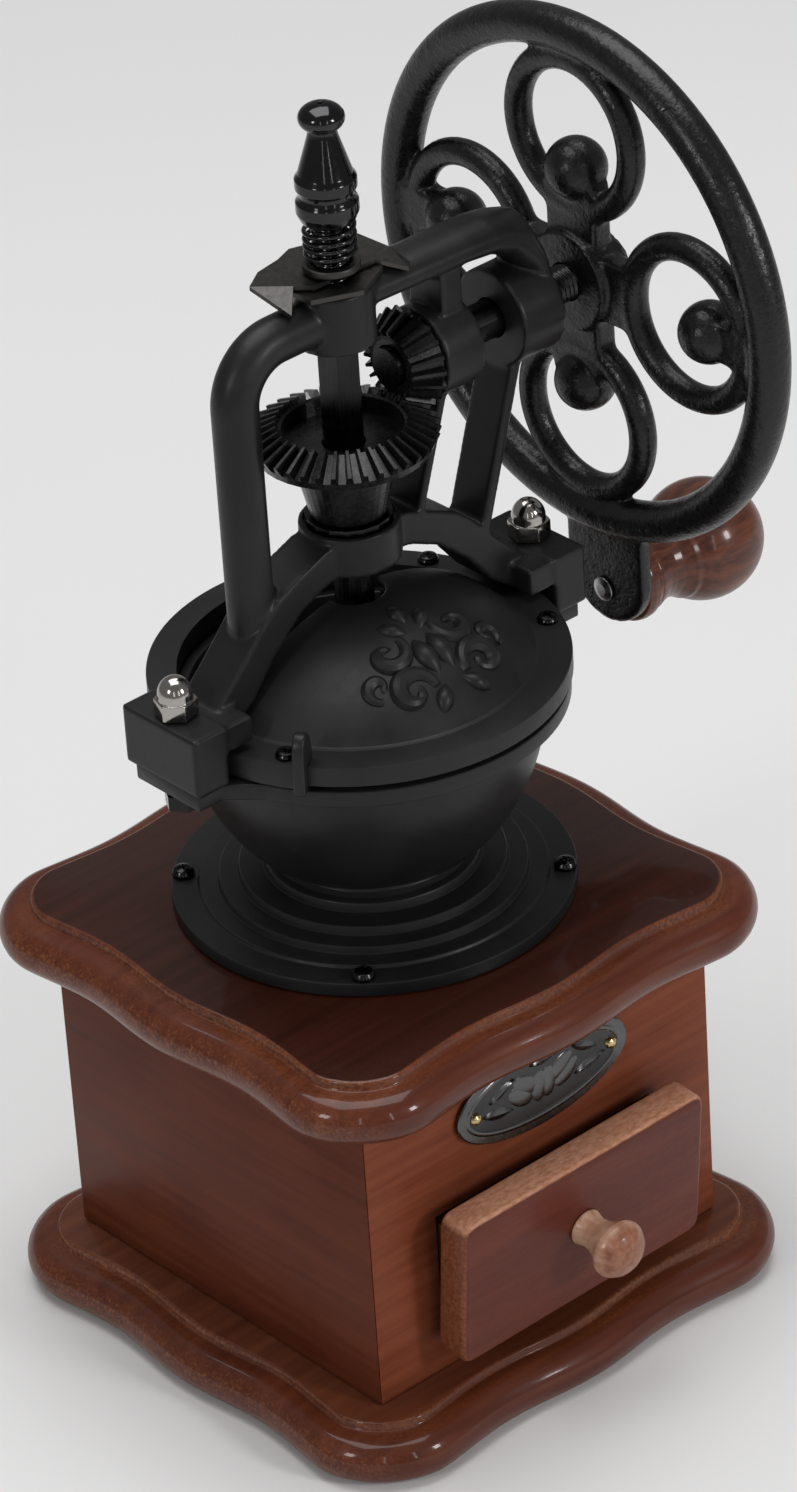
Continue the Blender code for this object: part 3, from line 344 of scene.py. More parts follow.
class Paint:
    """Small helper that lays out one node material."""

    def __init__(self, name, roughness=0.5, metallic=0.0, coat=0.0, coat_roughness=0.1, specular=0.5):
        self.material = bpy.data.materials.new(name)
        self.material.use_nodes = True
        self.nodes = self.material.node_tree.nodes
        self.links = self.material.node_tree.links
        self.shader = self.nodes["Principled BSDF"]
        settings = (("Roughness", roughness), ("Metallic", metallic), ("Coat Weight", coat),
                    ("Coat Roughness", coat_roughness), ("Specular IOR Level", specular))
        for key, value in settings:
            self.shader.inputs[key].default_value = value
        self.place = self.nodes.new("ShaderNodeTexCoord").outputs["Object"]

    def link(self, out, to):
        self.links.new(out, to)

    def stretched(self, scale):
        mapping = self.nodes.new("ShaderNodeMapping")
        mapping.inputs["Scale"].default_value = scale
        self.link(self.place, mapping.inputs["Vector"])
        return mapping.outputs["Vector"]

    def noise(self, scale, detail=3.0, rough=0.5, vector=None, distortion=0.0):
        node = self.nodes.new("ShaderNodeTexNoise")
        node.inputs["Scale"].default_value = scale
        node.inputs["Detail"].default_value = detail
        node.inputs["Roughness"].default_value = rough
        node.inputs["Distortion"].default_value = distortion
        self.link(self.place if vector is None else vector, node.inputs["Vector"])
        return node.outputs["Fac"]

    def ramp(self, value, stops):
        """Colour ramp from (position, colour) stops."""
        node = self.nodes.new("ShaderNodeValToRGB")
        elements = node.color_ramp.elements
        while len(elements) < len(stops):
            elements.new(0.5)
        for element, (position, colour) in zip(elements, stops):
            element.position = position
            element.color = (*colour, 1.0)
        self.link(value, node.inputs["Fac"])
        return node.outputs["Color"]

    def span(self, value, low, high, to_low=0.0, to_high=1.0):
        """Value rescaled and clamped from one range to another."""
        node = self.nodes.new("ShaderNodeMapRange")
        ends = (("From Min", low), ("From Max", high), ("To Min", to_low), ("To Max", to_high))
        for key, number in ends:
            node.inputs[key].default_value = number
        self.link(value, node.inputs["Value"])
        return node.outputs["Result"]

    def math(self, operation, first, second):
        node = self.nodes.new("ShaderNodeMath")
        node.operation = operation
        for i, value in enumerate((first, second)):
            if isinstance(value, (int, float)):
                node.inputs[i].default_value = value
            else:
                self.link(value, node.inputs[i])
        return node.outputs["Value"]

    def mix(self, factor, first, second):
        node = self.nodes.new("ShaderNodeMix")
        node.data_type = "RGBA"
        self.link(factor, node.inputs["Factor"])
        for key, value in (("A", first), ("B", second)):
            socket = [s for s in node.inputs if s.name == key and s.type == "RGBA"][0]
            if isinstance(value, tuple):
                socket.default_value = (*value, 1.0)
            else:
                self.link(value, socket)
        return [s for s in node.outputs if s.type == "RGBA"][0]

    def axis(self, name, source=None):
        """One coordinate of a vector, of the object's place by default."""
        node = self.nodes.new("ShaderNodeSeparateXYZ")
        self.link(self.place if source is None else source, node.inputs["Vector"])
        return node.outputs[name]

    def facing(self):
        """Surface normal in the object's own axes."""
        return self.nodes.new("ShaderNodeTexCoord").outputs["Normal"]

    def colour(self, value):
        self.link(value, self.shader.inputs["Base Color"])

    def rough(self, value):
        self.link(value, self.shader.inputs["Roughness"])

    def bump(self, height, distance, strength):
        node = self.nodes.new("ShaderNodeBump")
        node.inputs["Distance"].default_value = distance * MM
        node.inputs["Strength"].default_value = strength
        self.link(height, node.inputs["Height"])
        self.link(node.outputs["Normal"], self.shader.inputs["Normal"])


def grain_vector(paint, along, long=14.0, across=330.0):
    """Coordinates stretched so that noise runs along one axis like wood fibre."""
    scale = [across, across, across]
    scale["XYZ".index(along)] = long
    return paint.stretched(tuple(scale))


def board_wood(name, low, top_dark, top_light):
    """Varnished board: flat top of its own tone, warmer step, red-brown glossy nose; grain along X."""
    paint = Paint(name, coat=0.42, coat_roughness=0.08, specular=0.12)
    fibre = paint.noise(1.0, 5.0, 0.6, grain_vector(paint, "X"))
    bands = paint.noise(1.0, 2.0, 0.5, grain_vector(paint, "X", 8.0, 60.0), 1.2)
    speck = paint.noise(1500.0, 2.0, 0.6)
    cloud = paint.noise(28.0, 2.0)
    top = paint.ramp(fibre, [(0.3, top_dark), (0.75, top_light)])
    nose = paint.ramp(fibre, [(0.28, (0.068, 0.0140, 0.0060)), (0.72, (0.140, 0.036, 0.016))])
    worn = paint.ramp(speck, [(0.32, (0.10, 0.027, 0.0095)), (0.68, (0.30, 0.105, 0.037))])
    nose = paint.mix(paint.span(bands, 0.35, 0.7, 0.0, 0.5), nose, (0.070, 0.0135, 0.0055))
    side = paint.axis("X", paint.facing())
    end_grain = paint.span(paint.math("ABSOLUTE", side, 0.0), 0.35, 0.95)
    end_face = paint.mix(paint.span(speck, 0.42, 0.72, 0.0, 0.55), nose, worn)
    nose = paint.mix(end_grain, nose, end_face)
    height = paint.axis("Z")
    step = paint.span(height, (low + 8.9) * MM, (low + 9.6) * MM)
    flat = paint.span(paint.axis("Z", paint.facing()), 0.75, 0.98)
    high = paint.span(height, (low + 10.85) * MM, (low + 10.97) * MM)
    body = paint.mix(paint.math("MULTIPLY", step, paint.span(cloud, 0.35, 0.65, 0.1, 0.6)), nose, worn)
    body = paint.mix(paint.math("MULTIPLY", flat, high), body, top)
    paint.colour(body)
    paint.rough(paint.span(speck, 0.3, 0.7, 0.32, 0.46))
    paint.bump(paint.math("ADD", fibre, paint.math("MULTIPLY", speck, 0.3)), 0.10, 0.45)
    return paint.material


def panel_wood(name, along, dark, light, roughness=0.38):
    """Thin varnish over a panel with fine grain and a slightly mottled stain."""
    paint = Paint(name, coat=0.03, coat_roughness=0.25, specular=0.08)
    fibre = paint.noise(1.0, 5.0, 0.65, grain_vector(paint, along, 22.0, 420.0))
    cloud = paint.noise(35.0, 3.0, 0.6)
    tone = paint.math("ADD", paint.math("MULTIPLY", fibre, 0.65), paint.math("MULTIPLY", cloud, 0.35))
    paint.colour(paint.ramp(tone, [(0.34, dark), (0.66, light)]))
    paint.rough(paint.span(fibre, 0.3, 0.7, roughness - 0.06, roughness + 0.08))
    paint.bump(fibre, 0.06, 0.4)
    return paint.material


def drawer_wood():
    """Red-brown face and orange-brown edges, with the upward-facing top edge painted pale as painted
    light from above.
    """
    paint = Paint("drawer_wood", coat=0.12, coat_roughness=0.22, specular=0.16)
    fibre = paint.noise(1.0, 4.0, 0.6, grain_vector(paint, "X", 16.0, 190.0), 0.6)
    speck = paint.noise(1.0, 3.0, 0.6, grain_vector(paint, "X", 620.0, 1500.0))
    face = paint.ramp(fibre, [(0.3, (0.085, 0.0175, 0.0105)), (0.7, (0.135, 0.031, 0.018))])
    pale = paint.ramp(speck, [(0.34, (0.42, 0.180, 0.100)), (0.66, (0.60, 0.31, 0.195))])
    ends = paint.ramp(speck, [(0.34, (0.13, 0.034, 0.014)), (0.66, (0.23, 0.075, 0.032))])
    # Edge faces turned upwards take the pale colour: painted light from above.
    upward = paint.span(paint.axis("Z", paint.facing()), 0.25, 0.7)
    edges = paint.mix(upward, ends, pale)
    front = paint.math("ABSOLUTE", paint.axis("Y", paint.facing()), 0.0)
    paint.colour(paint.mix(paint.span(front, 0.82, 0.97), edges, face))
    paint.rough(paint.span(speck, 0.3, 0.7, 0.34, 0.5))
    paint.bump(paint.math("ADD", fibre, speck), 0.04, 0.35)
    return paint.material


def knob_wood():
    """Pale turned stem with a browner rounded end."""
    paint = Paint("knob_wood", coat=0.35, coat_roughness=0.14, specular=0.2)
    fibre = paint.noise(1.0, 5.0, 0.6, grain_vector(paint, "Y", 60.0, 520.0))
    stem = paint.ramp(fibre, [(0.34, (0.42, 0.22, 0.135)), (0.66, (0.62, 0.40, 0.28))])
    end = paint.ramp(fibre, [(0.34, (0.20, 0.070, 0.036)), (0.66, (0.34, 0.15, 0.09))])
    forward = paint.span(paint.axis("Y"), KNOB_RIM_Y * MM, (KNOB_RIM_Y - 2.4) * MM)
    paint.colour(paint.mix(forward, stem, end))
    paint.rough(paint.span(fibre, 0.3, 0.7, 0.34, 0.48))
    paint.bump(fibre, 0.04, 0.4)
    return paint.material


def pale_wood(name, along, dark, light, coat):
    """Light turned or sawn beech with short flecks."""
    paint = Paint(name, coat=coat, coat_roughness=0.14, specular=0.2)
    fibre = paint.noise(1.0, 5.0, 0.6, grain_vector(paint, along, 40.0, 520.0))
    fleck = paint.noise(1.0, 2.0, 0.5, grain_vector(paint, along, 160.0, 1500.0))
    tone = paint.math("ADD", paint.math("MULTIPLY", fibre, 0.7), paint.math("MULTIPLY", fleck, 0.3))
    paint.colour(paint.ramp(tone, [(0.36, dark), (0.64, light)]))
    paint.rough(paint.span(fleck, 0.3, 0.7, 0.38, 0.55))
    paint.bump(fibre, 0.05, 0.4)
    return paint.material


def satin_black(name, tone, roughness):
    """Thin satin paint over a fine casting skin."""
    paint = Paint(name, specular=0.26)
    skin = paint.noise(700.0, 3.0, 0.6)
    cloud = paint.noise(45.0, 3.0, 0.55)
    dark = (tone * 0.75, tone * 0.75, tone * 0.8)
    light = (tone * 1.5, tone * 1.5, tone * 1.58)
    paint.colour(paint.ramp(cloud, [(0.3, dark), (0.7, light)]))
    mixed = paint.math("ADD", paint.math("MULTIPLY", skin, 0.5), paint.math("MULTIPLY", cloud, 0.5))
    paint.rough(paint.span(mixed, 0.3, 0.7, roughness - 0.07, roughness + 0.09))
    paint.bump(skin, 0.03, 0.5)
    return paint.material


def crinkled_black():
    """Glossy enamel that has dried in small bumps over a rough casting."""
    paint = Paint("wheel_enamel", specular=0.36)
    lumps = paint.noise(520.0, 3.0, 0.65, distortion=0.4)
    peel = paint.noise(1500.0, 2.0, 0.5)
    swell = paint.noise(120.0, 2.0)
    paint.colour(paint.ramp(lumps, [(0.3, (0.0035, 0.0035, 0.0037)), (0.75, (0.008, 0.008, 0.0084))]))
    height = paint.math("ADD", lumps, paint.math("MULTIPLY", peel, 0.35))
    height = paint.math("ADD", height, paint.math("MULTIPLY", swell, 1.2))
    paint.rough(paint.span(peel, 0.3, 0.7, 0.22, 0.38))
    paint.bump(height, 0.26, 0.7)
    return paint.material


def metal(name, colour, roughness, wear=0.08, along=None):
    """Metal with a fine finish, along one axis or even, that varies in gloss and tone."""
    paint = Paint(name, metallic=1.0)
    vector = None if along is None else grain_vector(paint, along, 60.0, 2400.0)
    fine = paint.noise(900.0 if vector is None else 1.0, 3.0, 0.6, vector)
    cloud = paint.noise(90.0, 3.0)
    dark = tuple(c * 0.78 for c in colour)
    paint.colour(paint.ramp(cloud, [(0.3, dark), (0.7, colour)]))
    paint.rough(paint.span(fine, 0.3, 0.7, max(roughness - wear, 0.03), roughness + wear))
    paint.bump(fine, 0.02, 0.5)
    return paint.material


def gear_black():
    """Blackened steel with grease-dulled patches."""
    paint = Paint("gear_black", metallic=0.75)
    fine = paint.noise(1200.0, 3.0, 0.6)
    cloud = paint.noise(150.0, 3.0)
    paint.colour(paint.ramp(cloud, [(0.3, (0.012, 0.012, 0.0125)), (0.72, (0.040, 0.040, 0.041))]))
    paint.rough(paint.span(fine, 0.3, 0.7, 0.2, 0.36))
    paint.bump(fine, 0.03, 0.5)
    return paint.material


WOOD_BASE = board_wood("base_board_wood", BASE_LOW[2], (0.085, 0.022, 0.010), (0.165, 0.050, 0.023))
WOOD_TOP = board_wood("top_board_wood", TOP_LOW[2], (0.024, 0.0050, 0.0024), (0.046, 0.0105, 0.005))
WOOD_FRONT = panel_wood("front_panel_wood", "X", (0.135, 0.031, 0.0135), (0.235, 0.066, 0.030))
# The side walls take a darker copy of the front wall's wood: painted shade on the sides.
WOOD_SIDE_PAINTED_SHADE = panel_wood("side_panel_wood_painted_shade", "Y", (0.076, 0.0160, 0.0070), (0.135, 0.034, 0.015))
WOOD_DRAWER = drawer_wood()
# The drawer tray's wood is darkened: painted shade inside the drawer.
WOOD_TRAY_PAINTED_SHADE = pale_wood("tray_wood_painted_shade", "Y", (0.075, 0.030, 0.014), (0.14, 0.060, 0.028), 0.0)
WOOD_KNOB = knob_wood()
WOOD_GRIP = pale_wood("grip_wood", "X", (0.045, 0.0115, 0.0055), (0.150, 0.043, 0.020), 0.5)
CASTING = satin_black("casting_black", 0.0095, 0.38)
BOWL_BLACK = satin_black("bowl_black", 0.0105, 0.36)
LID_BLACK = satin_black("lid_black", 0.0125, 0.40)
ENAMEL = crinkled_black()
GEAR = gear_black()
# Bright steel for broken edges: wear, and painted highlight along gear teeth and plate edges.
WORN_AND_HIGHLIT = metal("worn_edge_and_highlight", (0.60, 0.60, 0.61), 0.24)
SPINDLE_BLACK = metal("spindle_steel", (0.028, 0.028, 0.029), 0.28, along="Z")
SHAFT_STEEL = metal("shaft_steel", (0.05, 0.05, 0.051), 0.3, along="X")
STEEL = metal("plain_steel", (0.42, 0.42, 0.43), 0.3)
SCREW_BLACK = metal("screw_black", (0.030, 0.030, 0.031), 0.20)
NICKEL = metal("bright_nickel", (0.46, 0.435, 0.405), 0.14, 0.05)
WASHER_BLACK = metal("washer_black", (0.030, 0.030, 0.031), 0.3)
# Darker metal for the name plate's sunken field: painted shade in the recess.
RECESS_PAINTED_SHADE = metal("plate_recess_painted_shade", (0.075, 0.075, 0.077), 0.36, 0.08)
BLACK_NICKEL = metal("black_nickel", (0.050, 0.050, 0.052), 0.12, 0.04)
GUNMETAL = metal("gunmetal", (0.13, 0.13, 0.133), 0.26, 0.06)
BRASS = metal("pin_brass", (0.66, 0.50, 0.24), 0.25)
PLATE_STEEL = metal("stamped_steel", (0.075, 0.072, 0.069), 0.40, 0.08)


# ---------------------------------------------------------------- wooden base

CORNER_RADIUS = 19.0
WAVE_DEPTH = 1.8
WAVE_LENGTH = 42.0
SIDE_STEPS = 44
CORNER_STEPS = 22


def wave_point(along, half, angle, turn, on_side, inset):
    """One outline point on the -Y side or its corner, turned to its quarter."""
    x = along + CORNER_RADIUS * math.sin(angle)
    y = -(half - CORNER_RADIUS) - CORNER_RADIUS * math.cos(angle)
    nearest = abs(along) if on_side else min(abs(x), abs(y))
    dip = 0.0
    if nearest < WAVE_LENGTH:
        dip = WAVE_DEPTH / 2.0 * (1.0 - math.cos(TURN * nearest / WAVE_LENGTH))
    x -= math.sin(angle) * (dip + inset)
    y += math.cos(angle) * (dip + inset)
    return (x * math.cos(turn) - y * math.sin(turn), x * math.sin(turn) + y * math.cos(turn))


def board_outline(half, inset):
    """Wavy outline of a board, moved in from its edge by the inset."""
    straight = half - CORNER_RADIUS
    points = []
    for quarter in range(4):
        turn = quarter * math.pi / 2.0
        for i in range(SIDE_STEPS):
            along = -straight + 2.0 * straight * i / SIDE_STEPS
            points.append(wave_point(along, half, 0.0, turn, True, inset))
        for i in range(CORNER_STEPS):
            angle = math.pi / 2.0 * i / CORNER_STEPS
            points.append(wave_point(straight, half, angle, turn, False, inset))
    return points


def moulded_board(name, low, high, material, hole=0.0):
    """Board with a bull nose, a ledge and a raised flat top with softened edges."""
    half = high[0]
    nose = 4.65
    beyond = 2.0
    profile = arc(nose, nose, -nose, nose, -90.0, 84.0, 16)
    step = [profile[-1], (6.15, 2.0 * nose - 0.05), (6.45, 10.75), (7.2, 11.0)]
    profile = profile[:-1] + rounded(step, 0.5, 3, closed=False)
    rings = [[(x, y, low[2] + z) for x, y in board_outline(half, inset)] for inset, z in profile]
    board = object_from(name, loft(rings, False), material, 30.0)
    if hole:
        cut(board, rod("chute", hole, low[2] - beyond, high[2] + beyond, 48))
        resmooth(board, 30.0)
    return board


def wall_outline(gap):
    """Plan of the -Y wall, mitred at both ends and short of the mitre by the gap."""
    outer = BOX_HALF
    inner = BOX_HALF - WALL_THICK
    return [(-outer + gap, -outer), (outer - gap, -outer), (inner - gap, -inner), (-inner + gap, -inner)]


def box_walls():
    """Four mitred walls with eased outer corners, the front one open for the drawer."""
    mitre_gap = 0.05
    drawer_hole = ((-26.5, -60.0, 20.3), (26.5, -20.0, 45.0))
    low = LEFT_LOW[2]
    high = LEFT_HIGH[2]
    # Front and back walls take the front wood; the sides take its darker copy, which is painted shade.
    names = (("front_panel", WOOD_FRONT), ("side_right", WOOD_SIDE_PAINTED_SHADE), ("back_panel", WOOD_FRONT),
             ("side_left", WOOD_SIDE_PAINTED_SHADE))
    for i, (name, wood) in enumerate(names):
        wall = prism(name + "_wall", wall_outline(mitre_gap), low, high, wood)
        move(wall, rotation=Matrix.Rotation(i * TURN / 4.0, 3, "Z"))
        if name == "front_panel":
            cut(wall, block("opening", *drawer_hole))
            finish(wall, wood)
        bevel(wall, 0.32, 3)
        stands_for(wall, "frame", "varnished_wood", name)


def wooden_base():
    base = moulded_board("base_board_moulded", BASE_LOW, BASE_HIGH, WOOD_BASE)
    top = moulded_board("top_board_moulded", TOP_LOW, TOP_HIGH, WOOD_TOP, 13.0)
    stands_for(base, "frame", "varnished_wood", "base_board")
    stands_for(top, "frame", "varnished_wood", "top_board")
    box_walls()


# ---------------------------------------------------------------- drawer

LEAN = Matrix.Rotation(math.radians(FRONT_LEAN), 3, "X")
DRAWER_BACK_Y = -BOX_HALF - 2.0
FRONT_FOOT_Z = 18.7
FRONT_RISE = 50.5 - FRONT_FOOT_Z
KNOB_HEIGHT = 35.5 - FRONT_FOOT_Z


def on_front(thing):
    """Place a piece turned about Z onto the leaning drawer front's knob axis."""
    move(thing, 0.0, 0.0, KNOB_HEIGHT, TOWARDS_FRONT)
    return move(thing, 0.0, DRAWER_BACK_Y, FRONT_LOW[2], LEAN)


def drawer():
    """Leaning front with its knob; the tray keeps its CAD shape."""
    half = FRONT_HIGH[0]
    height = FRONT_RISE / math.cos(math.radians(FRONT_LEAN))
    outline = rounded([(-half, 0.0), (half, 0.0), (half, height), (-half, height)], 3.2, 6)
    panel = plate_xz("drawer_front_panel", outline, -FRONT_THICK, 0.0, WOOD_DRAWER)
    bevel(panel, 1.1, 5, 50.0)
    move(panel, 0.0, DRAWER_BACK_Y, FRONT_LOW[2], LEAN)
    stands_for(panel, "drawer", "drawer_wood", "drawer_front")
    face = FRONT_THICK + 0.1
    stem = [(0.05, 0.0), (3.75, 0.0), (3.35, 1.0), (3.1, 2.4), (3.3, 4.0), (3.95, 5.6), (5.0, 7.2)]
    cap = [(5.65, 8.0), (5.75, 8.8), (5.5, 9.6), (4.6, 11.0), (3.2, 12.0), (1.6, 12.55), (0.05, 12.7)]
    profile = [(radius, face + along) for radius, along in stem + cap]
    knob = on_front(turned("drawer_knob_turned", profile, WOOD_KNOB, 64, round_by=0.9, angle=60.0))
    stands_for(knob, "drawer", "pale_wood", "drawer_knob")
    # Tray pieces take the darkened tray wood, which is painted shade inside the drawer.
    for name in ("drawer_bottom", "drawer_side_left", "drawer_side_right", "drawer_back",
                 "drawer_runner_left", "drawer_runner_right"):
        paint_node(name, WOOD_TRAY_PAINTED_SHADE)
    paint_node("drawer_knob_screw", STEEL)


def paint_node(name, material):
    """Give a carried-over CAD node its finish."""
    return finish(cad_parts[name], material)


# ---------------------------------------------------------------- name plate

def plate_ring(inset, height):
    """Ellipse parallel to the plate's edge, height above the plate's back."""
    y = PLATE_HIGH[1] - height
    middle = (PLATE_LOW[2] + PLATE_HIGH[2]) / 2.0
    wide = PLATE_HIGH[0] - inset
    tall = (PLATE_HIGH[2] - PLATE_LOW[2]) / 2.0 - inset
    steps = 96
    return [(wide * math.cos(TURN * k / steps), y, middle + tall * math.sin(TURN * k / steps))
            for k in range(steps)]


def coffee_bean(x, z, length, tilt, y):
    """Half-sunk bean of two lobes with a crease between them."""
    lobes = []
    for side in (-1, 1):
        lobe = ball("lobe", 1.0, squash=(length * 0.5, 0.62, length * 0.30))
        move(lobe, 0.0, 0.0, side * length * 0.16)
        lobes.append(lobe)
    bean = join(lobes[0], lobes[1])
    return move(bean, x, y, z, Matrix.Rotation(math.radians(tilt), 3, "Y"))


def leaf(x, z, length, tilt, y):
    """Pointed leaf with a raised midrib."""
    steps = 14
    bm = bmesh.new()
    rows = []
    for i in range(steps + 1):
        t = i / steps
        half = 0.24 * length * math.sin(math.pi * t) ** 0.8 + 0.02
        u = length * (t - 0.5)
        rows.append([bm.verts.new((u, 0.2, -half)), bm.verts.new((u, -0.22, -half * 0.5)),
                     bm.verts.new((u, -0.5, 0.0)), bm.verts.new((u, -0.22, half * 0.5)),
                     bm.verts.new((u, 0.2, half))])
    for low, high in zip(rows, rows[1:]):
        for k in range(5):
            j = (k + 1) % 5
            bm.faces.new((low[k], low[j], high[j], high[k]))
    bm.faces.new(rows[0])
    bm.faces.new(rows[-1])
    thing = object_from("leaf", bm, None, 30.0)
    return move(thing, x, y, z, Matrix.Rotation(math.radians(tilt), 3, "Y"))


def name_plate():
    """Oval plate with a raised bead and a relief of beans and leaves in place of lettering."""
    section = ((0.15, 0.0), (0.0, 0.15), (0.0, 0.75), (0.25, 0.95), (1.7, 0.95), (1.95, 1.12), (2.3, 1.2),
               (2.65, 1.12), (2.9, 0.85))
    rings = [plate_ring(inset, height) for inset, height in section]
    plate = object_from("name_plate_relief", loft(rings, False), GUNMETAL, 30.0)
    middle = (PLATE_LOW[2] + PLATE_HIGH[2]) / 2.0
    face = PLATE_HIGH[1] - 0.85
    middle_y = (PLATE_LOW[1] + PLATE_HIGH[1]) / 2.0
    relief = []
    for x, z, tilt in ((-5.0, 0.2, 35.0), (5.0, 0.2, -35.0), (0.0, -0.6, 90.0)):
        relief.append(coffee_bean(x, middle + z, 7.0, tilt, face + 0.22))
    leaves = ((-11.4, -1.6, 12.0, 7.6), (11.4, -1.6, -12.0, 7.6), (-10.2, 2.6, -24.0, 6.6),
              (10.2, 2.6, 24.0, 6.6), (0.0, 4.6, 0.0, 6.4))
    for x, z, tilt, length in leaves:
        relief.append(leaf(x, middle + z, length, tilt, face + 0.1))
    # The widest front face, the sunken field, gets the darker metal as painted shade.
    plate.data.materials.append(RECESS_PAINTED_SHADE)
    front = [face for face in plate.data.polygons if face.center.y < middle_y * MM]
    widest = max(front, key=lambda face: face.area)
    widest.material_index = 1
    join(plate, *relief)
    stands_for(plate, "frame", "gunmetal", "name_plate")
    profile = [(0.05, -4.0), (0.6, -3.6), (0.6, 0.5), (1.3, 0.75), (1.28, 1.2), (1.0, 1.75), (0.5, 2.1),
               (0.05, 2.2)]
    for name, x in (("plate_pin_left", -16.8), ("plate_pin_right", 16.8)):
        pin = turned(name + "_domed", profile, BRASS, 32, round_by=0.2, angle=60.0)
        move(pin, x, -BOX_HALF, middle, TOWARDS_FRONT)
        stands_for(pin, "frame", "brass", name)


# ---------------------------------------------------------------- hopper and lid

RIM_TOP = BOWL_HIGH[2]
RIM_RADIUS = 38.0
FLANGE_RADIUS = 37.4
FLANGE_TOP = 88.4
RING_TOP = 134.4
RING_RADIUS = LID_HIGH[0]
DOME_BASE = 32.0
DOME_HEIGHT = 14.5
DOME_SPHERE = (DOME_BASE ** 2 + DOME_HEIGHT ** 2) / (2.0 * DOME_HEIGHT)
DOME_CENTRE = RING_TOP + DOME_HEIGHT - DOME_SPHERE


def ear_outline(side):
    """Plan of an ear, from its square end into the bowl's round rim."""
    inner = RIM_RADIUS - 2.0
    outline = [(side * 46.0, -8.6), (side * 46.0, 8.6), (side * 40.5, 8.6), (side * 35.0, 14.2)]
    for degrees in range(21, -22, -3):
        a = math.radians(degrees)
        outline.append((side * inner * math.cos(a), inner * math.sin(a)))
    outline += [(side * 35.0, -14.2), (side * 40.5, -8.6)]
    return outline


def hopper():
    """Stepped flange, neck, bowl and ears."""
    base = BOWL_LOW[2]
    profile = [(12.2, base), (FLANGE_RADIUS, base), (FLANGE_RADIUS, FLANGE_TOP), (32.4, FLANGE_TOP),
               (32.2, 89.0), (28.7, 89.0), (28.5, 90.5), (24.9, 90.5), (24.7, 92.3), (20.1, 92.3),
               (19.9, 94.1), (18.6, 94.5), (17.7, 95.3), (17.4, 96.3), (17.9, 97.0), (19.6, 97.5),
               (22.2, 98.8)]
    profile += arc(0.0, 127.0, 33.5, 37.8, -44.0, -1.5, 22)
    profile += [(RIM_RADIUS, 126.0), (RIM_RADIUS, RIM_TOP), (31.5, RIM_TOP)]
    profile += arc(0.0, RIM_TOP, 31.2, 27.4, -4.0, -64.0, 16)
    profile += [(13.3, 104.6), (13.3, 95.0), (12.2, 95.0)]
    bowl = turned("hopper_casting", profile, BOWL_BLACK, 112, hollow=True, round_by=0.45, angle=30.0)
    ears = []
    for side in (-1, 1):
        ear = prism("ear", ear_outline(side), 126.05, RIM_TOP - 0.05)
        ears.append(bevel(ear, 0.4, 2))
    union(bowl, *ears)
    resmooth(bowl, 30.0)
    finish(bowl, BOWL_BLACK)
    stands_for(bowl, "frame", "black_casting", "hopper_bowl")


def cross_slot(size, depth):
    """Cutter for a cross recess at the origin, open upwards."""
    bars = []
    for quarter in (0.0, 90.0):
        half = size * 0.17
        rings = [[(-size * 0.55, -half * 0.6, -depth), (size * 0.55, -half * 0.6, -depth),
                  (size * 0.55, half * 0.6, -depth), (-size * 0.55, half * 0.6, -depth)],
                 [(-size, -half, 1.0), (size, -half, 1.0), (size, half, 1.0), (-size, half, 1.0)]]
        bar = object_from("bar", loft(rings, False))
        bars.append(move(bar, rotation=Matrix.Rotation(math.radians(quarter), 3, "Z")))
    return bars


def screw_heads():
    """Pan heads with cross recesses on the flange and the lid's ring."""
    kinds = (("flange_screw", 2.15, FLANGE_TOP, 1.75, 20.0), ("lid_screw", 2.0, RING_TOP, 1.35, 35.0))
    for i in range(4):
        for prefix, radius, surface, top, spin in kinds:
            name = f"{prefix}_{i + 1}"
            low, high = node_box(name)
            x = (low[0] + high[0]) / 2.0
            y = (low[1] + high[1]) / 2.0
            seat = surface + 0.05
            profile = [(0.05, 0.0), (radius, 0.0), (radius, top * 0.4), (radius * 0.8, top * 0.85),
                       (radius * 0.4, top), (0.05, top)]
            head = turned(name + "_head", profile, SCREW_BLACK, 36, round_by=0.35, angle=50.0)
            slots = cross_slot(radius * 0.62, 0.2)
            for bar in slots:
                move(bar, z=top - 0.45)
            cut(head, *slots)
            resmooth(head, 40.0)
            finish(head, SCREW_BLACK)
            move(head, x, y, seat, Matrix.Rotation(math.radians(spin + 47.0 * i), 3, "Z"))
            stands_for(head, "frame", "black_screw", name)


def on_dome(u, v, lift=0.0):
    """Point on the dome u millimetres across and v down from the apex along the front meridian."""
    radius = DOME_SPHERE + lift
    across = u / DOME_SPHERE
    down = v / DOME_SPHERE
    x = radius * math.sin(across)
    y = -radius * math.cos(across) * math.sin(down)
    z = DOME_CENTRE + radius * math.cos(across) * math.cos(down)
    return (x, y, z)


def scroll(u, v, size, start, turns, side, thick):
    """Spiral ridge on the dome that tapers towards its eye."""
    path = []
    radii = []
    steps = 44
    for i in range(steps + 1):
        t = i / steps
        a = math.radians(start) + side * TURN * turns * t
        r = size * (1.0 - 0.82 * t)
        path.append(on_dome(u + r * math.cos(a), v + r * math.sin(a), -thick * 0.2))
        radii.append(thick * (0.55 + 0.45 * math.sin(math.pi * min(t * 1.3, 1.0))))
    return tube("scroll", path, radii, 10)


def dome_leaf(u, v, length, width, tilt):
    """Almond-shaped swelling on the dome."""
    path = []
    radii = []
    steps = 16
    for i in range(steps + 1):
        t = i / steps
        a = math.radians(tilt)
        s = length * (t - 0.5)
        path.append(on_dome(u + s * math.cos(a), v + s * math.sin(a), -0.25 * width))
        radii.append(max(width * math.sin(math.pi * t), 0.08))
    return tube("dome_leaf", path, radii, 12)


